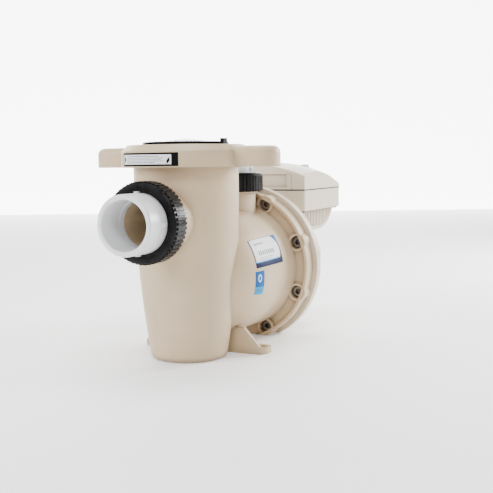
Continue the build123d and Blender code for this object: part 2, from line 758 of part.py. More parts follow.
with BuildPart() as basket:
    with BuildSketch(Plane.XY.offset(BASKET_Z)):
        Circle(BASKET_BASE_R)
    with BuildSketch(Plane.XY.offset(RIM_Z)):
        Circle(BASKET_TOP_R)
    loft()
    with BuildSketch(Plane.XY.offset(RIM_Z)):
        Circle(BASKET_LIP_R)
    extrude(amount=BASKET_LIP_T)
    with BuildSketch(Plane.XY.offset(BASKET_Z + BASKET_WALL)):
        Circle(BASKET_BASE_R - BASKET_WALL)
    with BuildSketch(Plane.XY.offset(RIM_Z + BASKET_LIP_T)):
        Circle(BASKET_TOP_R - BASKET_WALL)
    loft(mode=Mode.SUBTRACT)
    for level in range(BASKET_ROWS):
        row_z = BASKET_Z + BASKET_FOOT_H + level * (BASKET_H - BASKET_PLAIN_H) / BASKET_ROWS
        with BuildSketch(Plane.XY.offset(row_z)):
            with PolarLocations(BASKET_TOP_R, BASKET_SLOTS):
                Rectangle(2 * (BASKET_TOP_R - BASKET_BASE_R + 2 * BASKET_WALL), BASKET_SLOT_W)
        extrude(amount=(BASKET_H - BASKET_PLAIN_H) / BASKET_ROWS - BASKET_BAND, mode=Mode.SUBTRACT)
    with BuildSketch(Plane.XY.offset(BASKET_Z)):
        with PolarLocations(BASKET_HOLE_CIRCLE_R, BASKET_HOLES):
            Circle(BASKET_SLOT_W)
    extrude(amount=BASKET_WALL, mode=Mode.SUBTRACT)
    with BuildSketch(Plane.XY.offset(RIM_Z)):
        Rectangle(2 * BASKET_TOP_R - BASKET_WALL, BASKET_HANDLE_W)
    extrude(amount=BASKET_LIP_T + BASKET_HANDLE_H)
    with BuildSketch(Plane.XY.offset(RIM_Z - 1)):
        Rectangle(2 * BASKET_TOP_R - 8 * BASKET_WALL, BASKET_HANDLE_W + 1)
    extrude(amount=BASKET_LIP_T + 1, mode=Mode.SUBTRACT)
write(basket.part, "strainer_basket")


# ---------------------------------------------------------------- drain plugs

for (x, z, face_y, depth), name in zip(DRAINS, ("pot", "volute")):
    outward = Plane(origin=(x, face_y, z), x_dir=(1, 0, 0), z_dir=(0, 1, 0))
    with BuildPart() as plug:
        with BuildSketch(outward.offset(2 * DRAIN_CORD_R + RUN_GAP)):
            Circle(DRAIN_HEAD_R)
            with PolarLocations(DRAIN_HEAD_R, DRAIN_FLUTES):
                Circle(DRAIN_FLUTE_R, mode=Mode.SUBTRACT)
        extrude(amount=DRAIN_HEAD_T)
        with BuildSketch(outward.offset(2 * DRAIN_CORD_R + RUN_GAP)):
            Circle(DRAIN_R)
        extrude(amount=-depth)
    write(plug.part, f"{name}_drain_plug")
    write(
        seal_ring(outward.offset(DRAIN_CORD_R + RUN_GAP), DRAIN_R + DRAIN_CORD_R, DRAIN_CORD_R),
        f"{name}_drain_o_ring",
    )


# ---------------------------------------------------------------- flange bolts

with BuildPart() as bolts:
    with BuildSketch(across(HEAD_X)):
        with Locations(bolt_points()):
            Circle(BOLT_HEAD_R)
    extrude(amount=BOLT_HEAD_H)
    with BuildSketch(across(HEAD_X)):
        with Locations(bolt_points()):
            Circle(BOLT_R)
    extrude(amount=PLATE_BACK_X - HEAD_X)
    with BuildSketch(across(HEAD_X)):
        with Locations(bolt_points()):
            RegularPolygon(BOLT_SOCKET_AF / 2, 6, major_radius=False)
    extrude(amount=BOLT_SOCKET_DEPTH, mode=Mode.SUBTRACT)
write(bolts.part, "flange_bolts")

with BuildPart() as washers:
    with BuildSketch(across(HEAD_X + BOLT_HEAD_H)):
        with Locations(bolt_points()):
            Circle(WASHER_R)
        with Locations(bolt_points()):
            Circle(BOLT_HOLE_R, mode=Mode.SUBTRACT)
    extrude(amount=WASHER_T)
write(washers.part, "bolt_washers")


# ---------------------------------------------------------------- seal plate and wet end

with BuildPart() as seal_plate:
    with BuildSketch(across(PLATE_FACE_X)):
        Circle(CHAMBER_R - RUN_GAP)
    extrude(amount=FLANGE_BACK_X - PLATE_FACE_X)
    with BuildSketch(across(FLANGE_BACK_X)):
        Circle(PLATE_R)
    extrude(amount=SEAL_PLATE_T)
    with BuildSketch(across(PLATE_FACE_X + WALL + 4)):
        Circle(TIE_CIRCLE_R - 2)
        Circle(SEAT_RING_R + 9, mode=Mode.SUBTRACT)
    extrude(amount=PLATE_BACK_X - PLATE_FACE_X, mode=Mode.SUBTRACT)
    with BuildSketch(across(PLATE_FACE_X)):
        Circle(SHAFT_R + 1.5)
    extrude(amount=PLATE_BACK_X - PLATE_FACE_X, mode=Mode.SUBTRACT)
    with BuildSketch(across(PLATE_FACE_X)):
        Circle(SEAT_RING_R)
    extrude(amount=SEAT_RING_L, mode=Mode.SUBTRACT)
    with BuildSketch(across(PLATE_BACK_X - SLINGER_ROOM)):
        Circle(SEAT_RING_R + 10)
    extrude(amount=SLINGER_ROOM, mode=Mode.SUBTRACT)
    with BuildSketch(across(PLATE_GROOVE_X)):
        Circle(CHAMBER_R)
        Circle(CHAMBER_R - 2 * PLATE_CORD_R, mode=Mode.SUBTRACT)
    extrude(amount=2 * PLATE_CORD_R, mode=Mode.SUBTRACT)
    with BuildSketch(across(FLANGE_BACK_X)):
        with Locations(bolt_points()):
            Circle(BOLT_R)
    extrude(amount=SEAL_PLATE_T, mode=Mode.SUBTRACT)
    add(cut_flat(PLATE_FACE_X, PLATE_BACK_X + 1), mode=Mode.SUBTRACT)
write(seal_plate.part, "seal_plate")
write(
    seal_ring(across(PLATE_GROOVE_X + PLATE_CORD_R), CHAMBER_R - PLATE_CORD_R, PLATE_CORD_R), "housing_o_ring"
)
write(tube(across(PLATE_FACE_X), SEAT_RING_R, SHAFT_R + 1.0, SEAT_RING_L), "seal_seat")

IMPELLER_BACK_X = IMPELLER_X + IMPELLER_W
write(
    turned(
        (IMPELLER_BACK_X, SHAFT_R),
        (PLATE_FACE_X - FIT, SHAFT_R),
        (PLATE_FACE_X - FIT, SEAT_RING_R - 3),
        (PLATE_FACE_X - 4, SEAT_RING_R - 3),
        (PLATE_FACE_X - 4, SEAT_RING_R),
        (IMPELLER_BACK_X, SEAT_RING_R),
    ),
    "seal_head",
)

with BuildPart() as diffuser:
    add(
        turned(
            (DIFFUSER_X - DIFFUSER_SLEEVE_L, IMPELLER_EYE_R + RUN_GAP),
            (DIFFUSER_X - DIFFUSER_SLEEVE_L, THROAT_R - RUN_GAP),
            (DIFFUSER_X, THROAT_R - RUN_GAP),
            (DIFFUSER_X, DIFFUSER_R),
            (PLATE_FACE_X, DIFFUSER_R),
            (PLATE_FACE_X, DIFFUSER_R - DIFFUSER_WALL),
            (DIFFUSER_X + DIFFUSER_WALL, DIFFUSER_R - DIFFUSER_WALL),
            (DIFFUSER_X + DIFFUSER_WALL, IMPELLER_EYE_R + RUN_GAP),
        )
    )
    with BuildSketch(across(DIFFUSER_X + DIFFUSER_WALL)):
        with PolarLocations((DIFFUSER_R + IMPELLER_R) / 2, DIFFUSER_VANES):
            Rectangle(DIFFUSER_R - IMPELLER_R - DIFFUSER_WALL, DIFFUSER_WALL, rotation=35)
    extrude(amount=PLATE_FACE_X - DIFFUSER_X - DIFFUSER_WALL)
    with BuildSketch(across(IMPELLER_X)):
        with PolarLocations(DIFFUSER_R, DIFFUSER_VANES, start_angle=180 / DIFFUSER_VANES + 8):
            Rectangle(3 * DIFFUSER_WALL, DIFFUSER_R / 3)
    extrude(amount=IMPELLER_W, mode=Mode.SUBTRACT)
write(diffuser.part, "diffuser")

with BuildPart() as impeller:
    add(
        turned(
            (IMPELLER_X - IMPELLER_EYE_L, IMPELLER_EYE_R - EYE_WALL),
            (IMPELLER_X - IMPELLER_EYE_L, IMPELLER_EYE_R),
            (IMPELLER_X, IMPELLER_EYE_R),
            (IMPELLER_X, IMPELLER_R),
            (IMPELLER_X + SHROUD_T, IMPELLER_R),
            (IMPELLER_X + SHROUD_T, IMPELLER_EYE_R - EYE_WALL),
        )
    )
    add(
        turned(
            (SHAFT_X, SHAFT_R),
            (SHAFT_X, HUB_R),
            (IMPELLER_BACK_X - 3 * SHROUD_T, HUB_R + 2),
            (IMPELLER_BACK_X - SHROUD_T, 2 * HUB_R),
            (IMPELLER_BACK_X - SHROUD_T, IMPELLER_R),
            (IMPELLER_BACK_X, IMPELLER_R),
            (IMPELLER_BACK_X, SHAFT_R),
        )
    )
    with BuildSketch(across(IMPELLER_X + SHROUD_T)):
        with BuildLine():
            for k in range(VANES):
                turn = 360 / VANES * k
                ThreePointArc(
                    Vector(IMPELLER_EYE_R - EYE_WALL, 0).rotate(Axis.Z, turn),
                    Vector(IMPELLER_R * 0.68, 0).rotate(Axis.Z, turn - 28),
                    Vector(IMPELLER_R - VANE_T / 2, 0).rotate(Axis.Z, turn - 80),
                )
        trace(line_width=VANE_T)
    extrude(amount=IMPELLER_W - 2 * SHROUD_T)
write(impeller.part, "impeller")

with BuildPart() as impeller_screw:
    with BuildSketch(across(SHAFT_X)):
        Circle(HUB_R - 3)
    extrude(amount=-SHROUD_T * 2)
    fillet(impeller_screw.edges().group_by(Axis.X)[0], SHROUD_T)
    with BuildSketch(across(SHAFT_X)):
        Circle(SCREW_R)
    extrude(amount=SCREW_L)
    with BuildSketch(across(SHAFT_X - SHROUD_T * 2)):
        RegularPolygon(SCREW_R, 6, major_radius=False)
    extrude(amount=SHROUD_T, mode=Mode.SUBTRACT)
write(impeller_screw.part, "impeller_screw")


# ---------------------------------------------------------------- motor: what turns

with BuildPart() as shaft:
    with BuildSketch(across(SHAFT_X)):
        Circle(SHAFT_R)
    extrude(amount=SHAFT_END_X - SHAFT_X)
    with BuildSketch(across(FRONT_BEARING_X + BEARING_W)):
        Circle(SHAFT_R + SHOULDER)
    extrude(amount=REAR_BEARING_X - FRONT_BEARING_X - BEARING_W)
    with BuildSketch(across(SHAFT_X)):
        Circle(SCREW_R)
    extrude(amount=SCREW_L, mode=Mode.SUBTRACT)
write(shaft.part, "motor_shaft")

with BuildPart() as rotor:
    with BuildSketch(across(STATOR_X)):
        Circle(ROTOR_R)
    extrude(amount=STATOR_L)
    with BuildSketch(across(STATOR_X - END_RING_L)):
        Circle(ROTOR_R - 4)
    extrude(amount=STATOR_L + 2 * END_RING_L)
    with BuildSketch(across(STATOR_X - END_RING_L)):
        Circle(SHAFT_R + SHOULDER)
    extrude(amount=STATOR_L + 2 * END_RING_L, mode=Mode.SUBTRACT)
write(rotor.part, "rotor")

BEARINGS = (FRONT_BEARING_X, REAR_BEARING_X)
BALL_CIRCLE_R = (SHAFT_R + BEARING_R) / 2
BALL_R = BEARING_R - RACE_T - BALL_CIRCLE_R - FIT

with BuildPart() as inner_races:
    for x in BEARINGS:
        add(tube(across(x), SHAFT_R + RACE_T, SHAFT_R, BEARING_W))
write(inner_races.part, "bearing_inner_races")

with BuildPart() as outer_races:
    for x in BEARINGS:
        add(tube(across(x), BEARING_R, BEARING_R - RACE_T, BEARING_W))
write(outer_races.part, "bearing_outer_races")

with BuildPart() as balls:
    for x in BEARINGS:
        with Locations(across(x + BEARING_W / 2)):
            with PolarLocations(BALL_CIRCLE_R, BALLS):
                Sphere(BALL_R)
write(balls.part, "bearing_balls")

write(
    turned(
        (PLATE_BACK_X - SLINGER_ROOM + 2, SHAFT_R),
        (PLATE_BACK_X - SLINGER_ROOM + 2, SEAT_RING_R + 5),
        (PLATE_BACK_X - SLINGER_ROOM + 4, SEAT_RING_R + 5),
        (PLATE_BACK_X - SLINGER_ROOM + 4, SHAFT_R + 4),
        (PLATE_BACK_X - 2, SHAFT_R + 4),
        (PLATE_BACK_X - 2, SHAFT_R),
    ),
    "slinger",
)

with BuildPart() as fan:
    add(tube(across(FAN_X), FAN_HUB_R, SHAFT_R, FAN_L))
    add(tube(across(FAN_X), FAN_R, SHAFT_R + 2, FAN_DISC_T))
    with BuildSketch(across(FAN_X)):
        with PolarLocations((FAN_R + FAN_HUB_R - 2) / 2, FAN_BLADES):
            Rectangle(FAN_R - FAN_HUB_R + 2, FAN_DISC_T)
    extrude(amount=FAN_L)
write(fan.part, "cooling_fan")


# ---------------------------------------------------------------- motor: what stands

with BuildPart() as stator:
    add(tube(across(STATOR_X), STATOR_R, STATOR_BORE_R, STATOR_L))
    with BuildSketch(across(STATOR_X)):
        with PolarLocations(STATOR_BORE_R + SLOT_MOUTH + SLOT_DEPTH / 2, STATOR_SLOTS):
            Rectangle(SLOT_DEPTH, SLOT_W)
    extrude(amount=STATOR_L, mode=Mode.SUBTRACT)
    with BuildSketch(across(STATOR_X)):
        with PolarLocations(TIE_CIRCLE_R, TIE_BOLTS, start_angle=45):
            Circle(TIE_BOLT_R + RUN_GAP)
    extrude(amount=STATOR_L, mode=Mode.SUBTRACT)
write(stator.part, "stator_core")

with BuildPart() as windings:
    for x in (STATOR_X - END_TURN_L, STATOR_X + STATOR_L):
        with BuildSketch(across(x)):
            Circle(STATOR_BORE_R + SLOT_MOUTH + SLOT_DEPTH)
            Circle(STATOR_BORE_R + SLOT_MOUTH, mode=Mode.SUBTRACT)
        extrude(amount=END_TURN_L)
    with BuildSketch(across(STATOR_X)):
        with PolarLocations(STATOR_BORE_R + SLOT_MOUTH + SLOT_DEPTH / 2, STATOR_SLOTS):
            Rectangle(SLOT_DEPTH - 2 * RUN_GAP, SLOT_W - 2 * RUN_GAP)
    extrude(amount=STATOR_L)
write(windings.part, "stator_windings")

with BuildPart() as frame:
    with BuildSketch(across(FRAME_X)):
        Circle(MOTOR_R)
        Circle(MOTOR_R - MOTOR_SKIN, mode=Mode.SUBTRACT)
    extrude(amount=FRAME_L)
write(frame.part, "motor_frame")


write(
    turned(
        (PLATE_BACK_X, SHAFT_R + BELL_BORE_GAP),
        (PLATE_BACK_X, MOTOR_R),
        (FRAME_X, MOTOR_R),
        (FRAME_X, MOTOR_R - BELL_WALL),
        (PLATE_BACK_X + BELL_WALL, MOTOR_R - BELL_WALL),
        (PLATE_BACK_X + BELL_WALL, BEARING_HUB_R),
        (FRONT_BEARING_X + BEARING_W, BEARING_HUB_R),
        (FRONT_BEARING_X + BEARING_W, BEARING_R),
        (FRONT_BEARING_X, BEARING_R),
        (FRONT_BEARING_X, SHAFT_R + BELL_BORE_GAP),
    ),
    "motor_front_bracket",
)

with BuildPart() as rear_bracket:
    add(
        turned(
            (MOTOR_END_X, SHAFT_R + BELL_BORE_GAP),
            (MOTOR_END_X, BELL_REAR_R),
            (FRAME_END_X, MOTOR_R),
            (FRAME_END_X, MOTOR_R - BELL_WALL),
            (MOTOR_END_X - BELL_WALL, BELL_REAR_R - BELL_WALL),
            (MOTOR_END_X - BELL_WALL, BEARING_HUB_R),
            (REAR_BEARING_X, BEARING_HUB_R),
            (REAR_BEARING_X, BEARING_R),
            (REAR_BEARING_X + BEARING_W, BEARING_R),
            (REAR_BEARING_X + BEARING_W, SHAFT_R + BELL_BORE_GAP),
        )
    )
    with BuildSketch(across(MOTOR_END_X)):
        with PolarLocations(TIE_CIRCLE_R, TIE_BOLTS, start_angle=45):
            Circle(TIE_BOLT_R + RUN_GAP)
    extrude(amount=-BELL_L, mode=Mode.SUBTRACT)
write(rear_bracket.part, "motor_rear_bracket")

with BuildPart() as tie_bolts:
    with BuildSketch(across(MOTOR_END_X)):
        with PolarLocations(TIE_CIRCLE_R, TIE_BOLTS, start_angle=45):
            Circle(TIE_BOLT_R)
    extrude(amount=PLATE_BACK_X + BELL_WALL - MOTOR_END_X)
    with BuildSketch(across(MOTOR_END_X)):
        with PolarLocations(TIE_CIRCLE_R, TIE_BOLTS, start_angle=45):
            RegularPolygon(TIE_BOLT_R * 1.8, 6)
    extrude(amount=TIE_HEAD_H)
write(tie_bolts.part, "motor_tie_bolts")

with BuildPart() as fan_cover:
    add(
        turned(
            (MOTOR_END_X, BELL_REAR_R),
            (MOTOR_END_X + COVER_L * 0.43, COVER_MID_R),
            (MOTOR_END_X + COVER_L * 0.83, COVER_REAR_R),
            (COVER_END_X, COVER_FACE_R),
            (COVER_END_X, 0),
            (COVER_END_X - COVER_SKIN, 0),
            (COVER_END_X - COVER_SKIN, COVER_FACE_R - 0.5 * COVER_SKIN),
            (MOTOR_END_X + COVER_L * 0.80, COVER_REAR_R - COVER_SKIN),
            (MOTOR_END_X + COVER_L * 0.41, COVER_MID_R - COVER_SKIN),
            (MOTOR_END_X, BELL_REAR_R - COVER_SKIN),
        )
    )
    with BuildSketch(across(COVER_END_X)):
        with PolarLocations(COVER_FACE_R * 0.58, COVER_SLOTS):
            SlotOverall(COVER_FACE_R * 0.6, COVER_SLOT_W)
    extrude(amount=-2 * COVER_SKIN, mode=Mode.SUBTRACT)
write(fan_cover.part, "fan_cover")

with BuildPart() as support:
    add(slab(SUPPORT_X, SUPPORT_X + SUPPORT_L, SUPPORT_HALF_W, SUPPORT_PAD_T, SHAFT_Z - MOTOR_R / 2))
    add(slab(SUPPORT_X + WALL, SUPPORT_X + SUPPORT_L - WALL, SUPPORT_HALF_W - WALL, SUPPORT_PAD_T,
             SHAFT_Z - MOTOR_R - WALL), mode=Mode.SUBTRACT)
    add(rod(across(SUPPORT_X - 1), MOTOR_R, SUPPORT_L + 2), mode=Mode.SUBTRACT)
write(support.part, "motor_support")
write(slab(SUPPORT_X, SUPPORT_X + SUPPORT_L, SUPPORT_HALF_W, 0, SUPPORT_PAD_T), "support_pad")


# ---------------------------------------------------------------- drive housing

def cover_shape(inset, drop):
    """Crowned body of the drive's cover, lofted through its cross sections.

    The body is inset from its outside on every face and lowered by drop.
    """
    with BuildPart() as body:
        for x, side_z, crown_z in DRIVE_SECTIONS:
            along = min(max(x, DRIVE_X + inset), DRIVE_END_X - inset)
            half_w = DRIVE_HALF_W - inset
            with BuildSketch(Plane(origin=(along, 0, 0), x_dir=(0, 1, 0), z_dir=(1, 0, 0))) as section:
                with BuildLine():
                    crown = ThreePointArc(
                        (-half_w, side_z - inset - drop),
                        (0, crown_z - inset - drop),
                        (half_w, side_z - inset - drop),
                    )
                    Polyline(crown @ 1, (half_w, SEAM_Z), (-half_w, SEAM_Z), crown @ 0)
                make_face()
                fillet(section.vertices().group_by(Axis.Z)[1:], DRIVE_CORNER_R - inset)
        loft()
    return body.part


cover_outer = cover_shape(0, 0)
cover_inner = cover_shape(DRIVE_SKIN, 0)
cover_lowered = cover_shape(0, FLAP_T)
HINGE_X = BAY_END_X - KNUCKLE_R - FLAP_GAP
KNUCKLE_YS = (-3 * KNUCKLE_L, 3 * KNUCKLE_L)


def knuckles(centres_y, length):
    """Hinge knuckles on the flap's axis."""
    with BuildPart() as barrels:
        for y in centres_y:
            end = Plane(origin=(HINGE_X, y + length / 2, HINGE_Z), x_dir=(1, 0, 0), z_dir=(0, -1, 0))
            with BuildSketch(end):
                Circle(KNUCKLE_R)
            extrude(amount=length)
    return barrels.part


CONDUIT_MOUTH = Plane(
    origin=(CONDUIT_X, DRIVE_HALF_W + CONDUIT_BOSS_H, CONDUIT_Z), x_dir=(1, 0, 0), z_dir=(0, 1, 0)
)
hinge_bore = Plane(origin=(HINGE_X, DRIVE_HALF_W, HINGE_Z), x_dir=(1, 0, 0), z_dir=(0, -1, 0))

with BuildPart() as bay_tub:
    add(slab(BAY_X - DRIVE_SKIN, BAY_END_X + DRIVE_SKIN, BAY_HALF_W + DRIVE_SKIN,
             BAY_FLOOR_Z - DRIVE_SKIN, CROWN_Z + 9))
    add(cover_outer, mode=Mode.INTERSECT)

with BuildPart() as drive_cover:
    add(cover_outer)
    add(cover_inner, mode=Mode.SUBTRACT)
    add(bay_tub.part)
    add(slab(BAY_X, BAY_END_X, BAY_HALF_W, BAY_FLOOR_Z, CROWN_Z + 9), mode=Mode.SUBTRACT)
    # recessed front panel between two ribs
    add(slab(DRIVE_X - 1, DRIVE_X + PANEL_DEPTH, PANEL_RIB_Y - PANEL_RIB_W / 2, SEAM_Z + 4, PANEL_TOP_Z),
        mode=Mode.SUBTRACT)
    for side in (-1, 1):
        with BuildSketch(Plane.XY.offset(SEAM_Z)):
            with Locations((DRIVE_X, side * PANEL_RIB_Y)):
                RectangleRounded(2 * PANEL_DEPTH, PANEL_RIB_W, PANEL_DEPTH / 2)
        extrude(amount=PANEL_TOP_Z - SEAM_Z)
        # lug behind each outer knuckle
        with BuildSketch(Plane.XY.offset(HINGE_Z - 2 * KNUCKLE_R)):
            with Locations(((HINGE_X + BAY_END_X) / 2 + 1, side * 3 * KNUCKLE_L)):
                Rectangle(BAY_END_X - HINGE_X + 2, KNUCKLE_L)
        extrude(amount=2 * KNUCKLE_R)
    add(knuckles(KNUCKLE_YS, KNUCKLE_L))
    add(rod(hinge_bore, HINGE_R, 2 * DRIVE_HALF_W), mode=Mode.SUBTRACT)
    with BuildSketch(Plane.XY.offset(SEAM_Z)):
        with Locations(SCREW_POINTS):
            Circle(DRIVE_POST_R)
    extrude(amount=SCREW_POST_H)
    with BuildSketch(Plane.XY.offset(SEAM_Z)):
        with Locations(SCREW_POINTS):
            Circle(DRIVE_SCREW_R)
    extrude(amount=SCREW_POST_H - 3, mode=Mode.SUBTRACT)
write(drive_cover.part, "drive_cover")

with BuildPart() as drive_base:
    with BuildSketch(Plane.XY.offset(DRIVE_Z)):
        with Locations(((DRIVE_X + DRIVE_END_X) / 2, 0)):
            RectangleRounded(DRIVE_L, 2 * DRIVE_HALF_W, DRIVE_SKIN)
    extrude(amount=SEAM_Z - GASKET_T - DRIVE_Z)
    add(slab(DRIVE_X + DRIVE_SKIN, DRIVE_END_X - DRIVE_SKIN, DRIVE_HALF_W - DRIVE_SKIN, FLOOR_Z, SEAM_Z),
        mode=Mode.SUBTRACT)
    add(slab(DRIVE_X + DRIVE_SKIN, DRIVE_END_X - DRIVE_SKIN, DRIVE_HALF_W - DRIVE_SKIN, DRIVE_Z,
             FLOOR_Z - FLOOR_T), mode=Mode.SUBTRACT)
    with BuildSketch(Plane.XY.offset(DRIVE_Z)):
        with Locations(SCREW_POINTS):
            Circle(DRIVE_POST_R)
    extrude(amount=SEAM_Z - GASKET_T - DRIVE_Z)
    with BuildSketch(Plane.XY.offset(DRIVE_Z)):
        with Locations(SCREW_POINTS):
            Circle(DRIVE_SCREW_R + RUN_GAP)
    extrude(amount=SEAM_Z - DRIVE_Z, mode=Mode.SUBTRACT)
    with BuildSketch(Plane.XY.offset(FLOOR_Z)):
        with Locations(BOARD_POSTS):
            Circle(BOARD_POST_R)
    extrude(amount=BOARD_Z - FLOOR_Z)
    with BuildSketch(CONDUIT_MOUTH):
        Circle(CONDUIT_BOSS_R)
    extrude(amount=-CONDUIT_BOSS_H - DRIVE_SKIN)
    with BuildSketch(CONDUIT_MOUTH):
        Circle(CONDUIT_R)
    extrude(amount=-CONDUIT_BOSS_H, mode=Mode.SUBTRACT)
    with BuildSketch(CONDUIT_MOUTH):
        Circle(CONDUIT_BORE_R)
    extrude(amount=-CONDUIT_BOSS_H - 2 * DRIVE_SKIN, mode=Mode.SUBTRACT)
    add(rod(across(DRIVE_X - 1), MOTOR_R + RUN_GAP, DRIVE_L + 2), mode=Mode.SUBTRACT)
write(drive_base.part, "drive_base")

with BuildPart() as drive_gasket:
    with BuildSketch(Plane.XY.offset(SEAM_Z - GASKET_T)):
        with Locations(((DRIVE_X + DRIVE_END_X) / 2, 0)):
            Rectangle(DRIVE_L - 1, 2 * DRIVE_HALF_W - 1)
            Rectangle(DRIVE_L - 2 * GASKET_W, 2 * DRIVE_HALF_W - 2 * GASKET_W, mode=Mode.SUBTRACT)
        with Locations(SCREW_POINTS):
            Circle(DRIVE_POST_R)
        with Locations(SCREW_POINTS):
            Circle(DRIVE_SCREW_R + RUN_GAP, mode=Mode.SUBTRACT)
    extrude(amount=GASKET_T)
write(drive_gasket.part, "drive_gasket")

with BuildPart() as drive_screws:
    with BuildSketch(Plane.XY.offset(DRIVE_Z)):
        with Locations(SCREW_POINTS):
            Circle(DRIVE_SCREW_R)
    extrude(amount=SEAM_Z + SCREW_POST_H - 4 - DRIVE_Z)
    with BuildSketch(Plane.XY.offset(DRIVE_Z)):
        with Locations(SCREW_POINTS):
            Circle(2 * DRIVE_SCREW_R)
    extrude(amount=-DRIVE_SCREW_R)
write(drive_screws.part, "drive_screws")

def saddle_shape(inset, foot):
    """Block between the drive and the motor, inset from its sides, reaching foot below its lower edge."""
    with BuildPart() as block:
        with BuildSketch(Plane.XZ.offset(inset - SADDLE_HALF_W)):
            with BuildLine():
                base = Line(
                    (SADDLE_X + inset, SADDLE_Z - foot),
                    (SADDLE_BEND_X, SADDLE_Z - foot),
                )
                bend = RadiusArc(base @ 1, (SADDLE_END_X - inset, DRIVE_Z - foot), -SADDLE_BEND_R)
                Polyline(
                    bend @ 1,
                    (SADDLE_END_X - inset, FLOOR_Z - FLOOR_T),
                    (SADDLE_X + inset, FLOOR_Z - FLOOR_T),
                    base @ 0,
                )
            make_face()
        extrude(amount=2 * (SADDLE_HALF_W - inset))
    return block.part


with BuildPart() as vent_slots:
    with BuildSketch(Plane.XY.offset(SADDLE_Z)):
        with Locations([(VENT_X + k * VENT_PITCH, 0) for k in range(VENT_SLOTS)]):
            Rectangle(VENT_W, 2 * SADDLE_HALF_W)
    extrude(amount=DRIVE_Z - SADDLE_Z - 1)
    add(saddle_shape(0, -VENT_EDGE), mode=Mode.INTERSECT)

with BuildPart() as saddle:
    add(saddle_shape(0, 0))
    add(saddle_shape(SADDLE_SKIN, SADDLE_SKIN), mode=Mode.SUBTRACT)
    add(vent_slots.part, mode=Mode.SUBTRACT)
    add(rod(across(SADDLE_X - 1), MOTOR_R + RUN_GAP, DRIVE_L), mode=Mode.SUBTRACT)
write(saddle.part, "drive_saddle")


# ---------------------------------------------------------------- inside the drive

with BuildPart() as heat_sink:
    add(slab(SINK_X, SINK_X + SINK_L, SINK_HALF_W, FLOOR_Z, FLOOR_Z + SINK_T))
    with BuildSketch(Plane.XY.offset(FLOOR_Z + SINK_T)):
        with Locations((SINK_X + SINK_L / 2, 0)):
            with GridLocations(1, 2 * SINK_HALF_W / SINK_FINS, 1, SINK_FINS):
                Rectangle(SINK_L, FIN_T)
    extrude(amount=FIN_H)
write(heat_sink.part, "heat_sink")

write(slab(BOARD_X, BOARD_X + BOARD_L, BOARD_HALF_W, BOARD_Z, BOARD_Z + BOARD_T), "circuit_board")

with BuildPart() as capacitors:
    with BuildSketch(Plane.XY.offset(BOARD_Z + BOARD_T)):
        with Locations((CAP_X, 0)):
            with GridLocations(1, 2.4 * CAP_R, 1, CAPS):
                Circle(CAP_R)
    extrude(amount=CAP_H)
write(capacitors.part, "capacitor_bank")

with BuildPart() as bushing:
    with BuildSketch(CONDUIT_MOUTH.offset(-CONDUIT_BOSS_H)):
        Circle(CONDUIT_BORE_R)
        Circle(CONDUIT_BORE_R - BUSHING_T, mode=Mode.SUBTRACT)
    extrude(amount=-DRIVE_SKIN)
write(bushing.part, "conduit_bushing")


# ---------------------------------------------------------------- keypad

with BuildPart() as keypad:
    add(slab(BAY_X + FIT, HINGE_X - KNUCKLE_R - FLAP_GAP, BAY_HALF_W - FIT, BAY_FLOOR_Z, PAD_TOP_Z))
    with BuildSketch(Plane.XY.offset(BAY_FLOOR_Z)):
        with Locations(BUTTON_POINTS):
            Circle(BUTTON_R + RUN_GAP)
    extrude(amount=PAD_T, mode=Mode.SUBTRACT)
write(keypad.part, "keypad_panel")

write(
    slab(WINDOW_X, WINDOW_X + WINDOW_L, WINDOW_W / 2, PAD_TOP_Z, PAD_TOP_Z + WINDOW_T), "display_window"
)

for point, name in zip(BUTTON_POINTS, BUTTON_NAMES):
    with BuildPart() as button:
        with BuildSketch(Plane.XY.offset(BAY_FLOOR_Z + BUTTON_TRAVEL + RUN_GAP)):
            with Locations(point):
                Circle(BUTTON_R)
        extrude(amount=BUTTON_H)
        fillet(button.edges().group_by(Axis.Z)[-1], BUTTON_H / 5)
    write(button.part, name)

with BuildPart() as flap:
    add(slab(BAY_X + FLAP_GAP, HINGE_X, BAY_HALF_W - FLAP_GAP, BAY_FLOOR_Z, CROWN_Z + 9))
    add(cover_outer, mode=Mode.INTERSECT)
    add(cover_lowered, mode=Mode.SUBTRACT)
    for y in KNUCKLE_YS:
        with BuildSketch(Plane.XY.offset(BAY_FLOOR_Z)):
            with Locations((HINGE_X, y)):
                Rectangle(2 * (KNUCKLE_R + FLAP_GAP), KNUCKLE_L + 2 * FLAP_GAP)
        extrude(amount=CROWN_Z - BAY_FLOOR_Z + 9, mode=Mode.SUBTRACT)
    add(knuckles((-KNUCKLE_L * 1.5, KNUCKLE_L * 1.5), KNUCKLE_L))
    add(rod(hinge_bore, HINGE_R + FIT, 2 * DRIVE_HALF_W), mode=Mode.SUBTRACT)
write(flap.part, "keypad_cover")

PIN_HALF_L = KNUCKLE_YS[1] + KNUCKLE_L / 2
write(rod(hinge_bore.offset(DRIVE_HALF_W - PIN_HALF_L), HINGE_R, 2 * PIN_HALF_L), "keypad_hinge_pin")
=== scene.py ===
"""Looks of the pool pump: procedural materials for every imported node, stickers and small printed marks,
studio light and the camera."""
import json
import math

import bmesh
import bpy
from mathutils import Matrix, Vector
from mathutils.bvhtree import BVHTree


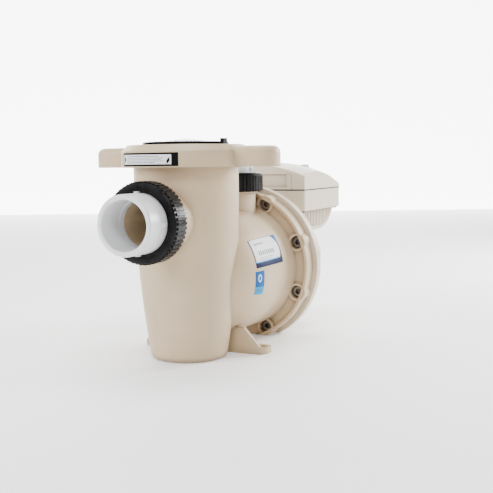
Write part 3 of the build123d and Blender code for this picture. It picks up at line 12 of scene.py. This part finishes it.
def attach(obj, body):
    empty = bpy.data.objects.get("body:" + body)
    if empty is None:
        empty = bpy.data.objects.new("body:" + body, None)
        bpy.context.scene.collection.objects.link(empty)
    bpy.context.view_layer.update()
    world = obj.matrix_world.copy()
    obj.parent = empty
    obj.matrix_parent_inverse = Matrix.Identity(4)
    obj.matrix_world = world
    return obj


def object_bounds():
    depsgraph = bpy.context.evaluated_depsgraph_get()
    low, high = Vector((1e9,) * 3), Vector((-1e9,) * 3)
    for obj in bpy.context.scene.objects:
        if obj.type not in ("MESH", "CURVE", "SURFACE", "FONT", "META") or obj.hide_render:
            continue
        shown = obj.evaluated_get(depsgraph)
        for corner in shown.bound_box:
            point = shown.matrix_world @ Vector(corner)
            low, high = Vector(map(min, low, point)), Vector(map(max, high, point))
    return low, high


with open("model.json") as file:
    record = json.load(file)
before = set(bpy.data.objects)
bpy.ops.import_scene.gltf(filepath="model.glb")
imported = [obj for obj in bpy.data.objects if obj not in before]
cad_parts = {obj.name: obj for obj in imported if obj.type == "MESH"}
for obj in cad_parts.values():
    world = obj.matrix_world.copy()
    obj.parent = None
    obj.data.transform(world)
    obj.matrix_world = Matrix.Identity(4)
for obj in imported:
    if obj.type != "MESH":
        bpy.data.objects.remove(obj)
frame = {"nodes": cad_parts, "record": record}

cad_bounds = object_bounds()
nodes = frame["nodes"]
MM = 0.001

# Colours, linear
ALMOND = (0.56, 0.430, 0.275)
ALMOND_LIGHT = (0.66, 0.57, 0.44)
# Dust and painted shade laid into the creases of the almond parts
ALMOND_DUST_AND_SHADE = (0.16, 0.095, 0.045)
WHITE_PVC = (0.80, 0.81, 0.82)
PAPER = (0.86, 0.87, 0.89)
INK = (0.004, 0.004, 0.005)
NAVY = (0.0, 0.006, 0.055)
CYAN = (0.0, 0.10, 0.34)
CYAN_PALE = (0.0, 0.30, 0.62)
GREY_PRINT = (0.10, 0.11, 0.17)

# Strength of the floor's and the backdrop's own light
FLOOR_GLOW = 0.30
WALL_GLOW = 7.0

# Camera: its place, then its turn about Z, dip and roll
CAMERA_AT = Vector((-994.5, -538.3, 255.5)) * MM
CAMERA_TURN = math.radians(-65.5)
CAMERA_DOWN = math.radians(5.6)
CAMERA_ROLL = math.radians(-0.7)
CAMERA_LENS_MM = 62.92
CAMERA_SENSOR_MM = 36.0


# ------------------------------------------------------------------ materials

class Shader:
    """One Principled material and short ways to add nodes to it."""

    def __init__(self, name):
        self.material = bpy.data.materials.new(name)
        self.material.use_nodes = True
        self.tree = self.material.node_tree
        self.tree.nodes.clear()
        self.surface = self.node("ShaderNodeBsdfPrincipled")
        output = self.node("ShaderNodeOutputMaterial")
        self.link(self.surface.outputs["BSDF"], output.inputs["Surface"])
        self.place = self.node("ShaderNodeTexCoord").outputs["Object"]

    def node(self, kind, **values):
        made = self.tree.nodes.new(kind)
        for key, value in values.items():
            setattr(made, key, value)
        return made

    def link(self, a, b):
        self.tree.links.new(a, b)

    def put(self, socket, value):
        """Links an output, or writes a plain value, to one of the surface's inputs."""
        target = self.surface.inputs[socket]
        if isinstance(value, bpy.types.NodeSocket):
            self.link(value, target)
        else:
            target.default_value = value

    def noise(self, scale, detail=4.0, rough=0.55, stretch=None, distortion=0.0):
        made = self.node("ShaderNodeTexNoise")
        made.inputs["Scale"].default_value = scale
        made.inputs["Detail"].default_value = detail
        made.inputs["Roughness"].default_value = rough
        made.inputs["Distortion"].default_value = distortion
        self.link(self.stretched(stretch), made.inputs["Vector"])
        return made.outputs["Fac"]

    def stretched(self, stretch):
        """The object's own coordinates, scaled along each axis."""
        if stretch is None:
            return self.place
        made = self.node("ShaderNodeMapping")
        made.inputs["Scale"].default_value = stretch
        self.link(self.place, made.inputs["Vector"])
        return made.outputs["Vector"]

    def ramp(self, factor, low, high, to_low=0.0, to_high=1.0):
        made = self.node("ShaderNodeMapRange")
        made.inputs["From Min"].default_value = low
        made.inputs["From Max"].default_value = high
        made.inputs["To Min"].default_value = to_low
        made.inputs["To Max"].default_value = to_high
        self.link(factor, made.inputs["Value"])
        return made.outputs["Result"]

    def mix(self, factor, a, b):
        """Colour between a and b."""
        made = self.node("ShaderNodeMix", data_type="RGBA")
        for socket, value in ((0, factor), (6, a), (7, b)):
            if isinstance(value, bpy.types.NodeSocket):
                self.link(value, made.inputs[socket])
            elif socket == 0:
                made.inputs[0].default_value = value
            else:
                made.inputs[socket].default_value = (*value, 1.0)
        return made.outputs[2]

    def math(self, operation, a, b):
        made = self.node("ShaderNodeMath", operation=operation, use_clamp=True)
        for socket, value in ((0, a), (1, b)):
            if isinstance(value, bpy.types.NodeSocket):
                self.link(value, made.inputs[socket])
            else:
                made.inputs[socket].default_value = value
        return made.outputs[0]

    def crease(self, distance):
        """1 in open places, falling to 0 in creases and corners."""
        made = self.node("ShaderNodeAmbientOcclusion", samples=4)
        made.inputs["Distance"].default_value = distance
        return made.outputs["AO"]

    def edge(self, low, high):
        """1 along sharp outer edges."""
        geometry = self.node("ShaderNodeNewGeometry")
        return self.ramp(geometry.outputs["Pointiness"], low, high)

    def round_edges(self, radius):
        made = self.node("ShaderNodeBevel", samples=4)
        made.inputs["Radius"].default_value = radius
        return made.outputs["Normal"]

    def bump(self, height, strength, distance, normal=None):
        made = self.node("ShaderNodeBump")
        made.inputs["Strength"].default_value = strength
        made.inputs["Distance"].default_value = distance
        self.link(height, made.inputs["Height"])
        if normal is not None:
            self.link(normal, made.inputs["Normal"])
        return made.outputs["Normal"]


def moulded(name, colour, crease_dust_and_shade_colour, rough=0.42, edge_mm=1.2, grain=0.12, gloss_patches=0.10, lighter=0.06):
    """Injection-moulded plastic: fine spark grain, faint flow marks, dust and painted shade darkening the creases,
    rubbed edges.
    """
    s = Shader(name)
    flow = s.noise(9.0, detail=5.0, distortion=0.8)
    speck = s.noise(1400.0, detail=1.0)
    pale = tuple(min(1.0, c * (1 + lighter) + 0.01) for c in colour)
    deep = tuple(c * (1 - lighter) for c in colour)
    body = s.mix(s.ramp(flow, 0.3, 0.7), deep, pale)
    body = s.mix(s.ramp(speck, 0.62, 0.80, 0.0, 0.35), body, deep)
    # Painted shade with some dust: creases darkened towards the crease colour, varied by the flow noise
    crease_dust_and_shade_mask = s.math("MULTIPLY", s.ramp(s.crease(0.012), 0.25, 0.95, 1.0, 0.0), s.ramp(flow, 0.2, 0.8, 0.45, 0.9))
    body = s.mix(s.math("MULTIPLY", crease_dust_and_shade_mask, 0.80), body, crease_dust_and_shade_colour)
    body = s.mix(s.math("MULTIPLY", s.edge(0.53, 0.62), 0.35), body, pale)
    s.put("Base Color", body)
    s.put("Roughness", s.ramp(s.noise(38.0, detail=6.0), 0.25, 0.75, rough - gloss_patches, rough + gloss_patches))
    s.put("Specular IOR Level", 0.45)
    s.put("Subsurface Weight", 0.06)
    s.put("Subsurface Radius", (0.004, 0.003, 0.002))
    s.put("Subsurface Scale", 0.5)
    waves = s.bump(flow, 0.10, 0.0010, s.round_edges(edge_mm * MM))
    s.put("Normal", s.bump(s.noise(1900.0, detail=2.0), grain, 0.00020, waves))
    return s.material


def satin_black(name, rough=0.30, grain=0.10, edge_mm=0.6):
    """Black moulded plastic with handling marks and grey, rubbed edges."""
    s = Shader(name)
    smear = s.noise(26.0, detail=7.0, distortion=1.4)
    body = s.mix(s.ramp(smear, 0.35, 0.75), (0.0035, 0.0036, 0.004), (0.009, 0.009, 0.010))
    body = s.mix(s.math("MULTIPLY", s.edge(0.54, 0.66), 0.5), body, (0.035, 0.036, 0.038))
    body = s.mix(s.ramp(s.crease(0.006), 0.2, 0.9, 0.35, 0.0), body, (0.014, 0.012, 0.010))
    s.put("Base Color", body)
    s.put("Specular IOR Level", 0.10)
    s.put("Roughness", s.ramp(smear, 0.3, 0.7, rough - 0.08, rough + 0.14))
    s.put("Normal", s.bump(s.noise(1500.0, detail=2.0), grain, 0.00018, s.round_edges(edge_mm * MM)))
    return s.material


def pipe_plastic(name):
    """White pressure pipe: smooth and glossy, with extrusion streaks and faint scuffs."""
    s = Shader(name)
    streak = s.noise(60.0, detail=4.0, stretch=(0.4, 6.0, 6.0))
    scuff = s.noise(240.0, detail=8.0, rough=0.75, stretch=(3.0, 1.0, 0.5), distortion=2.0)
    body = s.mix(s.ramp(streak, 0.3, 0.7), (0.74, 0.75, 0.77), WHITE_PVC)
    body = s.mix(s.ramp(scuff, 0.66, 0.76, 0.0, 0.35), body, (0.55, 0.56, 0.57))
    # Painted shade: greyer in the creases
    body = s.mix(s.ramp(s.crease(0.010), 0.2, 0.9, 0.4, 0.0), body, (0.42, 0.42, 0.43))
    s.put("Base Color", body)
    s.put("Roughness", s.ramp(scuff, 0.3, 0.75, 0.24, 0.42))
    s.put("Subsurface Weight", 0.10)
    s.put("Subsurface Radius", (0.004, 0.004, 0.004))
    s.put("Subsurface Scale", 0.5)
    s.put("Normal", s.bump(streak, 0.05, 0.0004, s.round_edges(0.9 * MM)))
    return s.material


def clear_plastic(name, tint=(0.90, 0.91, 0.92), rough=0.10, clear=0.55):
    """Moulded clear plastic with swirl haze and hairline scratches."""
    s = Shader(name)
    haze = s.noise(30.0, detail=5.0, distortion=1.2)
    hair = s.noise(420.0, detail=7.0, rough=0.8, stretch=(6.0, 0.7, 1.0), distortion=2.5)
    s.put("Base Color", s.mix(s.ramp(haze, 0.3, 0.7), tuple(c * 0.93 for c in tint), tint))
    s.put("Roughness", s.ramp(hair, 0.45, 0.75, rough, rough + 0.25))
    s.put("Transmission Weight", clear)
    s.put("IOR", 1.58)
    s.put("Normal", s.bump(hair, 0.05, 0.0002, s.round_edges(0.8 * MM)))
    return s.material


def metal(name, colour, rough, stretch, scale=220.0, edge_mm=0.5, corner_stain_and_shade=(0.30, 0.24, 0.18), corner_stain_and_shade_amount=0.3,
          anisotropy=0.4):
    """Machined or brushed metal: directional scratches, uneven sheen, and stains with painted shade in the
    corners.
    """
    s = Shader(name)
    lines = s.noise(scale, detail=6.0, rough=0.7, stretch=stretch)
    patch = s.noise(34.0, detail=5.0, distortion=1.0)
    dull = tuple(c * 0.78 for c in colour)
    body = s.mix(s.ramp(patch, 0.3, 0.75), dull, colour)
    # Stain and painted shade: corners darkened towards the given colour
    corner = s.math("MULTIPLY", s.ramp(s.crease(0.006), 0.2, 0.95, 1.0, 0.0), corner_stain_and_shade_amount)
    s.put("Base Color", s.mix(corner, body, corner_stain_and_shade))
    s.put("Metallic", 1.0)
    s.put("Roughness", s.ramp(lines, 0.3, 0.7, rough - 0.08, rough + 0.12))
    s.put("Anisotropic", anisotropy)
    s.put("Normal", s.bump(lines, 0.12, 0.00012, s.round_edges(edge_mm * MM)))
    return s.material


def painted(name, colour, rough=0.38):
    """Powder coat on steel: orange peel, small chips, and dust with painted shade in the creases."""
    s = Shader(name)
    peel = s.noise(520.0, detail=2.0)
    patch = s.noise(7.0, detail=5.0, distortion=0.6)
    chip = s.noise(95.0, detail=8.0, rough=0.72, distortion=1.5)
    body = s.mix(s.ramp(patch, 0.3, 0.7), tuple(c * 0.95 for c in colour), colour)
    body = s.mix(s.ramp(chip, 0.735, 0.76, 0.0, 0.8), body, (0.30, 0.29, 0.27))
    # Painted shade with some dust: creases darkened towards the dust-and-shade colour
    body = s.mix(s.ramp(s.crease(0.014), 0.2, 0.95, 0.4, 0.0), body, ALMOND_DUST_AND_SHADE)
    s.put("Base Color", body)
    s.put("Roughness", s.ramp(patch, 0.3, 0.7, rough - 0.06, rough + 0.08))
    s.put("Normal", s.bump(peel, 0.10, 0.0003, s.round_edges(1.0 * MM)))
    return s.material


def rubber(name, colour=(0.018, 0.018, 0.019), rough=0.62):
    """Moulded rubber: dull, dusty, slightly pebbled."""
    s = Shader(name)
    dust = s.noise(48.0, detail=7.0)
    grey = tuple(min(1.0, c * 2.2 + 0.015) for c in colour)
    s.put("Base Color", s.mix(s.ramp(dust, 0.45, 0.8, 0.0, 0.7), colour, grey))
    s.put("Roughness", s.ramp(dust, 0.3, 0.7, rough - 0.08, rough + 0.15))
    s.put("Normal", s.bump(s.noise(900.0, detail=3.0), 0.2, 0.0002, s.round_edges(0.4 * MM)))
    return s.material


def laminated(name, colour, pitch_mm=0.9):
    """Stack of thin steel sheets across the shaft."""
    s = Shader(name)
    bands = s.node("ShaderNodeTexWave", wave_type="BANDS", bands_direction="X")
    bands.inputs["Scale"].default_value = 1.0 / (pitch_mm * MM) / 6.28
    bands.inputs["Distortion"].default_value = 0.3
    s.link(s.place, bands.inputs["Vector"])
    oil = s.noise(40.0, detail=6.0, distortion=1.0)
    body = s.mix(s.ramp(bands.outputs["Fac"], 0.1, 0.5), tuple(c * 0.45 for c in colour), colour)
    s.put("Base Color", s.mix(s.ramp(oil, 0.5, 0.8, 0.0, 0.6), body, (0.12, 0.09, 0.06)))
    s.put("Metallic", 0.9)
    s.put("Roughness", s.ramp(oil, 0.3, 0.7, 0.30, 0.55))
    s.put("Normal", s.bump(bands.outputs["Fac"], 0.35, 0.0002))
    return s.material


def wound_copper(name):
    """Enamelled wire laid round the shaft and dipped in varnish."""
    s = Shader(name)
    rings = s.node("ShaderNodeTexWave", wave_type="RINGS", rings_direction="X")
    rings.inputs["Scale"].default_value = 130.0
    rings.inputs["Distortion"].default_value = 3.0
    rings.inputs["Detail"].default_value = 3.0
    place = s.node("ShaderNodeMapping")
    place.inputs["Location"].default_value = (0.0, 0.0, -0.104)
    s.link(s.place, place.inputs["Vector"])
    s.link(place.outputs["Vector"], rings.inputs["Vector"])
    varnish = s.noise(55.0, detail=5.0)
    body = s.mix(s.ramp(rings.outputs["Fac"], 0.2, 0.8), (0.20, 0.06, 0.02), (0.72, 0.30, 0.12))
    s.put("Base Color", s.mix(s.ramp(varnish, 0.55, 0.8, 0.0, 0.6), body, (0.26, 0.12, 0.04)))
    s.put("Metallic", 0.7)
    s.put("Roughness", s.ramp(varnish, 0.3, 0.7, 0.22, 0.45))
    s.put("Normal", s.bump(rings.outputs["Fac"], 0.6, 0.0004))
    return s.material


def board(name):
    """Solder-masked laminate with tracks and pads under the mask."""
    s = Shader(name)
    tracks = s.node("ShaderNodeTexVoronoi", distance="MANHATTAN", feature="DISTANCE_TO_EDGE")
    tracks.inputs["Scale"].default_value = 140.0
    s.link(s.place, tracks.inputs["Vector"])
    pads = s.node("ShaderNodeTexVoronoi", feature="F1")
    pads.inputs["Scale"].default_value = 160.0
    s.link(s.place, pads.inputs["Vector"])
    body = s.mix(s.ramp(tracks.outputs["Distance"], 0.03, 0.06), (0.05, 0.30, 0.12), (0.015, 0.14, 0.055))
    body = s.mix(s.ramp(pads.outputs["Distance"], 0.18, 0.22, 1.0, 0.0), body, (0.62, 0.60, 0.55))
    s.put("Base Color", body)
    s.put("Roughness", s.ramp(s.noise(60.0), 0.3, 0.7, 0.22, 0.40))
    s.put("Normal", s.bump(tracks.outputs["Distance"], 0.2, 0.0002))
    return s.material


def printed(name, colour, rough=0.32):
    """Ink on a laminated film, with slight mottling and fine scratches."""
    s = Shader(name)
    mottle = s.noise(180.0, detail=5.0)
    scratch = s.noise(500.0, detail=7.0, rough=0.8, stretch=(1.0, 1.0, 8.0), distortion=2.0)
    body = s.mix(s.ramp(mottle, 0.3, 0.7), tuple(c * 0.94 for c in colour), colour)
    s.put("Base Color", s.mix(s.ramp(scratch, 0.70, 0.80, 0.0, 0.06), body, (0.6, 0.6, 0.6)))
    s.put("Specular IOR Level", 0.10)
    s.put("Roughness", s.ramp(scratch, 0.4, 0.75, rough, rough + 0.18))
    s.put("Normal", s.bump(mottle, 0.04, 0.0002))
    return s.material


ROUND_X = (1.0, 0.05, 0.05)
FINISHES = {
    "housing_plastic": moulded("almond_moulded", ALMOND, ALMOND_DUST_AND_SHADE, rough=0.44, edge_mm=2.6),
    "plate_plastic": moulded("almond_plate", ALMOND_LIGHT, ALMOND_DUST_AND_SHADE, rough=0.42, edge_mm=1.6),
    "drive_plastic": moulded("drive_moulded", ALMOND_LIGHT, ALMOND_DUST_AND_SHADE, rough=0.40, edge_mm=1.4, grain=0.18),
    "basket_plastic": moulded("basket_moulded", (0.70, 0.70, 0.67), (0.35, 0.33, 0.27), rough=0.5, edge_mm=0.5),
    "black_plastic": satin_black("black_moulded"),
    "wet_end_plastic": satin_black("wet_end_moulded", rough=0.48, grain=0.25, edge_mm=0.8),
    "white_pvc": pipe_plastic("pipe_white"),
    "clear_plastic": clear_plastic("lid_clear"),
    "display_window": clear_plastic("display_tinted", tint=(0.10, 0.16, 0.13), rough=0.06, clear=0.8),
    "seal_rubber": rubber("seal_rubber"),
    "pad_rubber": rubber("pad_rubber", colour=(0.025, 0.024, 0.023), rough=0.72),
    "button_rubber": rubber("button_rubber", colour=(0.30, 0.31, 0.33), rough=0.5),
    # Bolts: corners painted near-black brown as the shadow of the boss pockets
    "bolt_steel": metal("bolt_steel", (0.34, 0.31, 0.28), 0.36, (1.0, 1.0, 1.0), corner_stain_and_shade=(0.025, 0.015, 0.010),
                        corner_stain_and_shade_amount=1.0),
    "shaft_steel": metal("shaft_ground", (0.62, 0.62, 0.62), 0.22, ROUND_X, anisotropy=0.6),
    "pin_steel": metal("pin_drawn", (0.58, 0.58, 0.58), 0.28, (1.0, 0.05, 1.0)),
    "bearing_steel": metal("bearing_polished", (0.66, 0.66, 0.67), 0.14, ROUND_X, corner_stain_and_shade_amount=0.15),
    "core_steel": laminated("core_laminations", (0.36, 0.36, 0.38)),
    "rotor_steel": laminated("rotor_laminations", (0.45, 0.45, 0.46), pitch_mm=1.2),
    "copper_wire": wound_copper("winding_copper"),
    "seal_ceramic": pipe_plastic("seal_ceramic"),
    "seal_carbon": rubber("seal_carbon", colour=(0.03, 0.03, 0.032), rough=0.35),
    "motor_paint": painted("motor_powder_coat", ALMOND_LIGHT),
    "bracket_aluminium": metal("bracket_cast", (0.60, 0.60, 0.61), 0.46, (1.0, 1.0, 1.0), scale=420.0,
                               corner_stain_and_shade_amount=0.45, anisotropy=0.0),
    "sink_aluminium": metal("sink_extruded", (0.66, 0.67, 0.69), 0.30, (0.05, 1.0, 1.0)),
    "board_laminate": board("board_laminate"),
    "capacitor_sleeve": satin_black("capacitor_sleeve", rough=0.24),
    "keypad_film": printed("keypad_film", (0.035, 0.04, 0.05), rough=0.38),
}

for part in frame["record"]["subparts"]:
    finish = FINISHES[part["material_slot"]]
    mesh = nodes[part["node"]].data
    if not mesh.materials:
        mesh.materials.append(finish)
    for k in range(len(mesh.materials)):
        mesh.materials[k] = finish


# ------------------------------------------------------------------ stickers that follow the housing

def skin_of(*names):
    """Search tree of some nodes' surfaces."""
    points = []
    faces = []
    for name in names:
        mesh = nodes[name].data
        start = len(points)
        points += [v.co.copy() for v in mesh.vertices]
        faces += [[start + i for i in p.vertices] for p in mesh.polygons]
    return BVHTree.FromPolygons(points, faces)


def sticker(name, body, place, columns, rows, region, inks, lift=0.35 * MM):
    """Thin film on a surface. place(u, v) gives a point and its outward direction; region(u, v) the ink."""
    mesh = bmesh.new()
    grid = []
    for j in range(rows + 1):
        line = []
        for i in range(columns + 1):
            point, outward = place(i / columns, j / rows)
            line.append(mesh.verts.new(point + outward * lift))
        grid.append(line)
    for j in range(rows):
        for i in range(columns):
            face = mesh.faces.new((grid[j][i], grid[j][i + 1], grid[j + 1][i + 1], grid[j + 1][i]))
            face.material_index = region((i + 0.5) / columns, (j + 0.5) / rows)
            face.smooth = True
    made = bpy.data.meshes.new(name)
    mesh.to_mesh(made)
    mesh.free()
    film = bpy.data.objects.new(name, made)
    bpy.context.scene.collection.objects.link(film)
    for ink in inks:
        made.materials.append(ink)
    thick = film.modifiers.new("thick", "SOLIDIFY")
    thick.thickness = lift * 0.8
    thick.offset = -1.0
    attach(film, body)
    return film


INKS = {
    "paper": printed("label_paper", PAPER),
    "ink": printed("label_ink", INK),
    "navy": printed("label_navy", NAVY),
    "cyan": printed("label_cyan", CYAN),
    "cyan_pale": printed("label_cyan_pale", CYAN_PALE),
    "grey": printed("label_grey", GREY_PRINT),
}
housing_skin = skin_of("pump_housing")
SHAFT_HEIGHT = 104.0 * MM


def on_drum(x_left, x_right, low_deg, high_deg, lean=0.0):
    """Places points on the volute drum by their distance along the shaft and angle above its -Y side."""
    def place(u, v):
        angle = math.radians(low_deg + (high_deg - low_deg) * v)
        x = (x_left + (x_right - x_left) * u + lean * v) * MM
        outward = Vector((0.0, -math.cos(angle), math.sin(angle)))
        start = Vector((x, 0.0, SHAFT_HEIGHT)) + outward * 0.2
        point, normal, _, _ = housing_skin.ray_cast(start, -outward)
        return point, normal if normal.dot(outward) > 0 else -normal
    return place


def on_rim(from_deg, to_deg, low, high, radius):
    """Places points round the pot's rim between two bearings and heights."""
    def place(u, v):
        bearing = math.radians(from_deg + (to_deg - from_deg) * u)
        outward = Vector((math.sin(bearing), -math.cos(bearing), 0.0))
        return outward * radius + Vector((0.0, 0.0, low + (high - low) * v)), outward
    return place


def print_rows(u, v, rows, left, right, fill=0.55):
    """True on short broken bars that stand for lines of print."""
    for row, (height, length, words) in enumerate(rows):
        if abs(v - height) < 0.018 and left < u < left + (right - left) * length:
            word = (u - left) * words
            return (word + 0.31 * row) % 1.0 < fill
    return False


def volute_label(u, v):
    """White panel with a navy foot and right edge and a cyan corner."""
    curve = math.hypot((u - 0.52) / 0.44, (v - 0.50) / 0.62)
    if v < 0.17 or (u > 0.76 and curve > 1.0 and v < 0.62):
        return 2
    if u > 0.78 and curve > 1.0:
        return 3
    if v < 0.20:
        return 5
    if u < 0.02 or v > 0.975:
        return 2
    if 0.10 < u < 0.42 and abs(v - 0.80) < 0.035:
        return 4 if (u * 22) % 1.0 < 0.7 else 0
    if 0.14 < u < 0.74 and abs(v - 0.47) < 0.075:
        return 4 if (u * 15) % 1.0 < 0.62 else 0
    if print_rows(u, v, ((0.31, 0.9, 30), (0.25, 0.7, 34)), 0.14, 0.70):
        return 4
    return 0


def blue_sticker(u, v):
    """Cyan block over a pale foot, with blank marks."""
    if v < 0.34:
        return 3 if 0.15 < u < 0.85 and abs(v - 0.17) < 0.05 and (u * 12) % 1.0 < 0.6 else 1
    if math.hypot(u - 0.45, (v - 0.70) * 1.2) < 0.20 and math.hypot(u - 0.45, (v - 0.70) * 1.2) > 0.13:
        return 2
    return 0


def rim_label(u, v):
    """White strip with a black border, thick at one end, and two corner marks."""
    if u < 0.03 or u > 0.905 or v < 0.13 or v > 0.87:
        return 1
    if 0.05 < u < 0.10 and 0.2 < v < 0.8 and abs((v - 0.5) * 1.2) + (u - 0.05) * 7 < 0.40:
        return 1
    if 0.84 < u < 0.885 and 0.2 < v < 0.8 and abs(v - 0.28 - (u - 0.84) * 6) < 0.16:
        return 1
    rows = ((0.74, 0.9, 26), (0.62, 1.0, 31), (0.50, 0.95, 28), (0.38, 1.0, 33), (0.26, 0.8, 27))
    for row, (height, length, words) in enumerate(rows):
        if abs(v - height) < 0.032 and 0.12 < u < 0.12 + 0.68 * length and (u * words + 0.4 * row) % 1.0 < 0.66:
            return 2
    return 0


sticker("volute_label", "pump_body", on_drum(36, 116, 8, 34), 120, 60, volute_label,
        [INKS[k] for k in ("paper", "ink", "navy", "cyan", "grey", "cyan_pale")])
sticker("energy_sticker", "pump_body", on_drum(33, 52, -16, 5), 40, 60, blue_sticker,
        [INKS[k] for k in ("cyan", "cyan_pale", "paper", "grey")])
sticker("rim_label", "pump_body", on_rim(-129.6, -68.0, 251.8 * MM, 268.2 * MM, 84.0 * MM), 180, 36, rim_label,
        [INKS[k] for k in ("paper", "ink", "grey")])


# ------------------------------------------------------------------ floor, light and camera

def area_light(name, at, aim, size, power, colour=(1.0, 1.0, 1.0)):
    """Rectangular soft box."""
    lamp = bpy.data.lights.new(name, "AREA")
    lamp.shape = "RECTANGLE"
    lamp.size, lamp.size_y = size
    lamp.energy = power
    lamp.color = colour
    holder = bpy.data.objects.new(name, lamp)
    bpy.context.scene.collection.objects.link(holder)
    holder.location = at
    holder.rotation_mode = "QUATERNION"
    holder.rotation_quaternion = (Vector(aim) - Vector(at)).to_track_quat("-Z", "Y")
    return holder


def white_floor():
    """Pale sweep that the pump stands on."""
    made = bpy.data.meshes.new("floor")
    reach = 6.0
    made.from_pydata([(-reach, -reach, 0), (reach, -reach, 0), (reach, reach, 0), (-reach, reach, 0)], [],
                     [(0, 1, 2, 3)])
    floor = bpy.data.objects.new("floor", made)
    bpy.context.scene.collection.objects.link(floor)
    s = Shader("floor_paper")
    s.put("Base Color", s.mix(s.noise(3.0), (0.93, 0.93, 0.93), (0.96, 0.96, 0.96)))
    s.put("Roughness", 0.7)
    s.put("Emission Color", (1.0, 1.0, 1.0, 1.0))
    s.put("Emission Strength", FLOOR_GLOW)
    made.materials.append(s.material)


def white_wall():
    """Lit sweep behind the pump, square to the camera's line."""
    made = bpy.data.meshes.new("backdrop")
    made.from_pydata([(-2.6, 0, -0.02), (2.6, 0, -0.02), (2.6, 0, 3.0), (-2.6, 0, 3.0)], [], [(0, 1, 2, 3)])
    wall = bpy.data.objects.new("backdrop", made)
    bpy.context.scene.collection.objects.link(wall)
    wall.location = (2.9, 1.6, 0.0)
    wall.rotation_euler = (0.0, 0.0, CAMERA_TURN)
    s = Shader("backdrop_paper")
    s.put("Base Color", (0.95, 0.95, 0.95, 1.0))
    s.put("Roughness", 0.9)
    s.put("Emission Color", (1.0, 1.0, 1.0, 1.0))
    s.put("Emission Strength", WALL_GLOW)
    made.materials.append(s.material)


white_floor()
white_wall()
centre = (cad_bounds[0] + cad_bounds[1]) / 2
area_light("key", (-1.2, -0.9, 1.7), centre, (0.6, 0.6), 25.0)
area_light("fill", (-1.2, 1.2, 0.9), centre, (0.8, 0.8), 34.0)
area_light("right", (1.35, -0.95, 0.65), (0.32, 0.0, 0.15), (0.6, 0.6), 42.0)
area_light("top", (0.3, 0.1, 1.8), centre, (0.9, 0.9), 30.0)

world = bpy.data.worlds.new("studio")
bpy.context.scene.world = world
world.use_nodes = True
sky = world.node_tree.nodes["Background"]
sky.inputs["Color"].default_value = (1.0, 1.0, 1.0, 1.0)
sky.inputs["Strength"].default_value = 0.18

right = Vector((math.cos(CAMERA_TURN), math.sin(CAMERA_TURN), 0.0))
back = Vector((
    math.sin(CAMERA_TURN) * math.cos(CAMERA_DOWN),
    -math.cos(CAMERA_TURN) * math.cos(CAMERA_DOWN),
    math.sin(CAMERA_DOWN),
))
up = back.cross(right)
rolled_right = right * math.cos(CAMERA_ROLL) + up * math.sin(CAMERA_ROLL)
rolled_up = up * math.cos(CAMERA_ROLL) - right * math.sin(CAMERA_ROLL)
lens = bpy.data.cameras.new("camera")
lens.sensor_width = CAMERA_SENSOR_MM
lens.lens = CAMERA_LENS_MM
camera = bpy.data.objects.new("camera", lens)
bpy.context.scene.collection.objects.link(camera)
camera.matrix_world = Matrix.Translation(CAMERA_AT) @ Matrix((rolled_right, rolled_up, back)).transposed().to_4x4()
bpy.context.scene.camera = camera
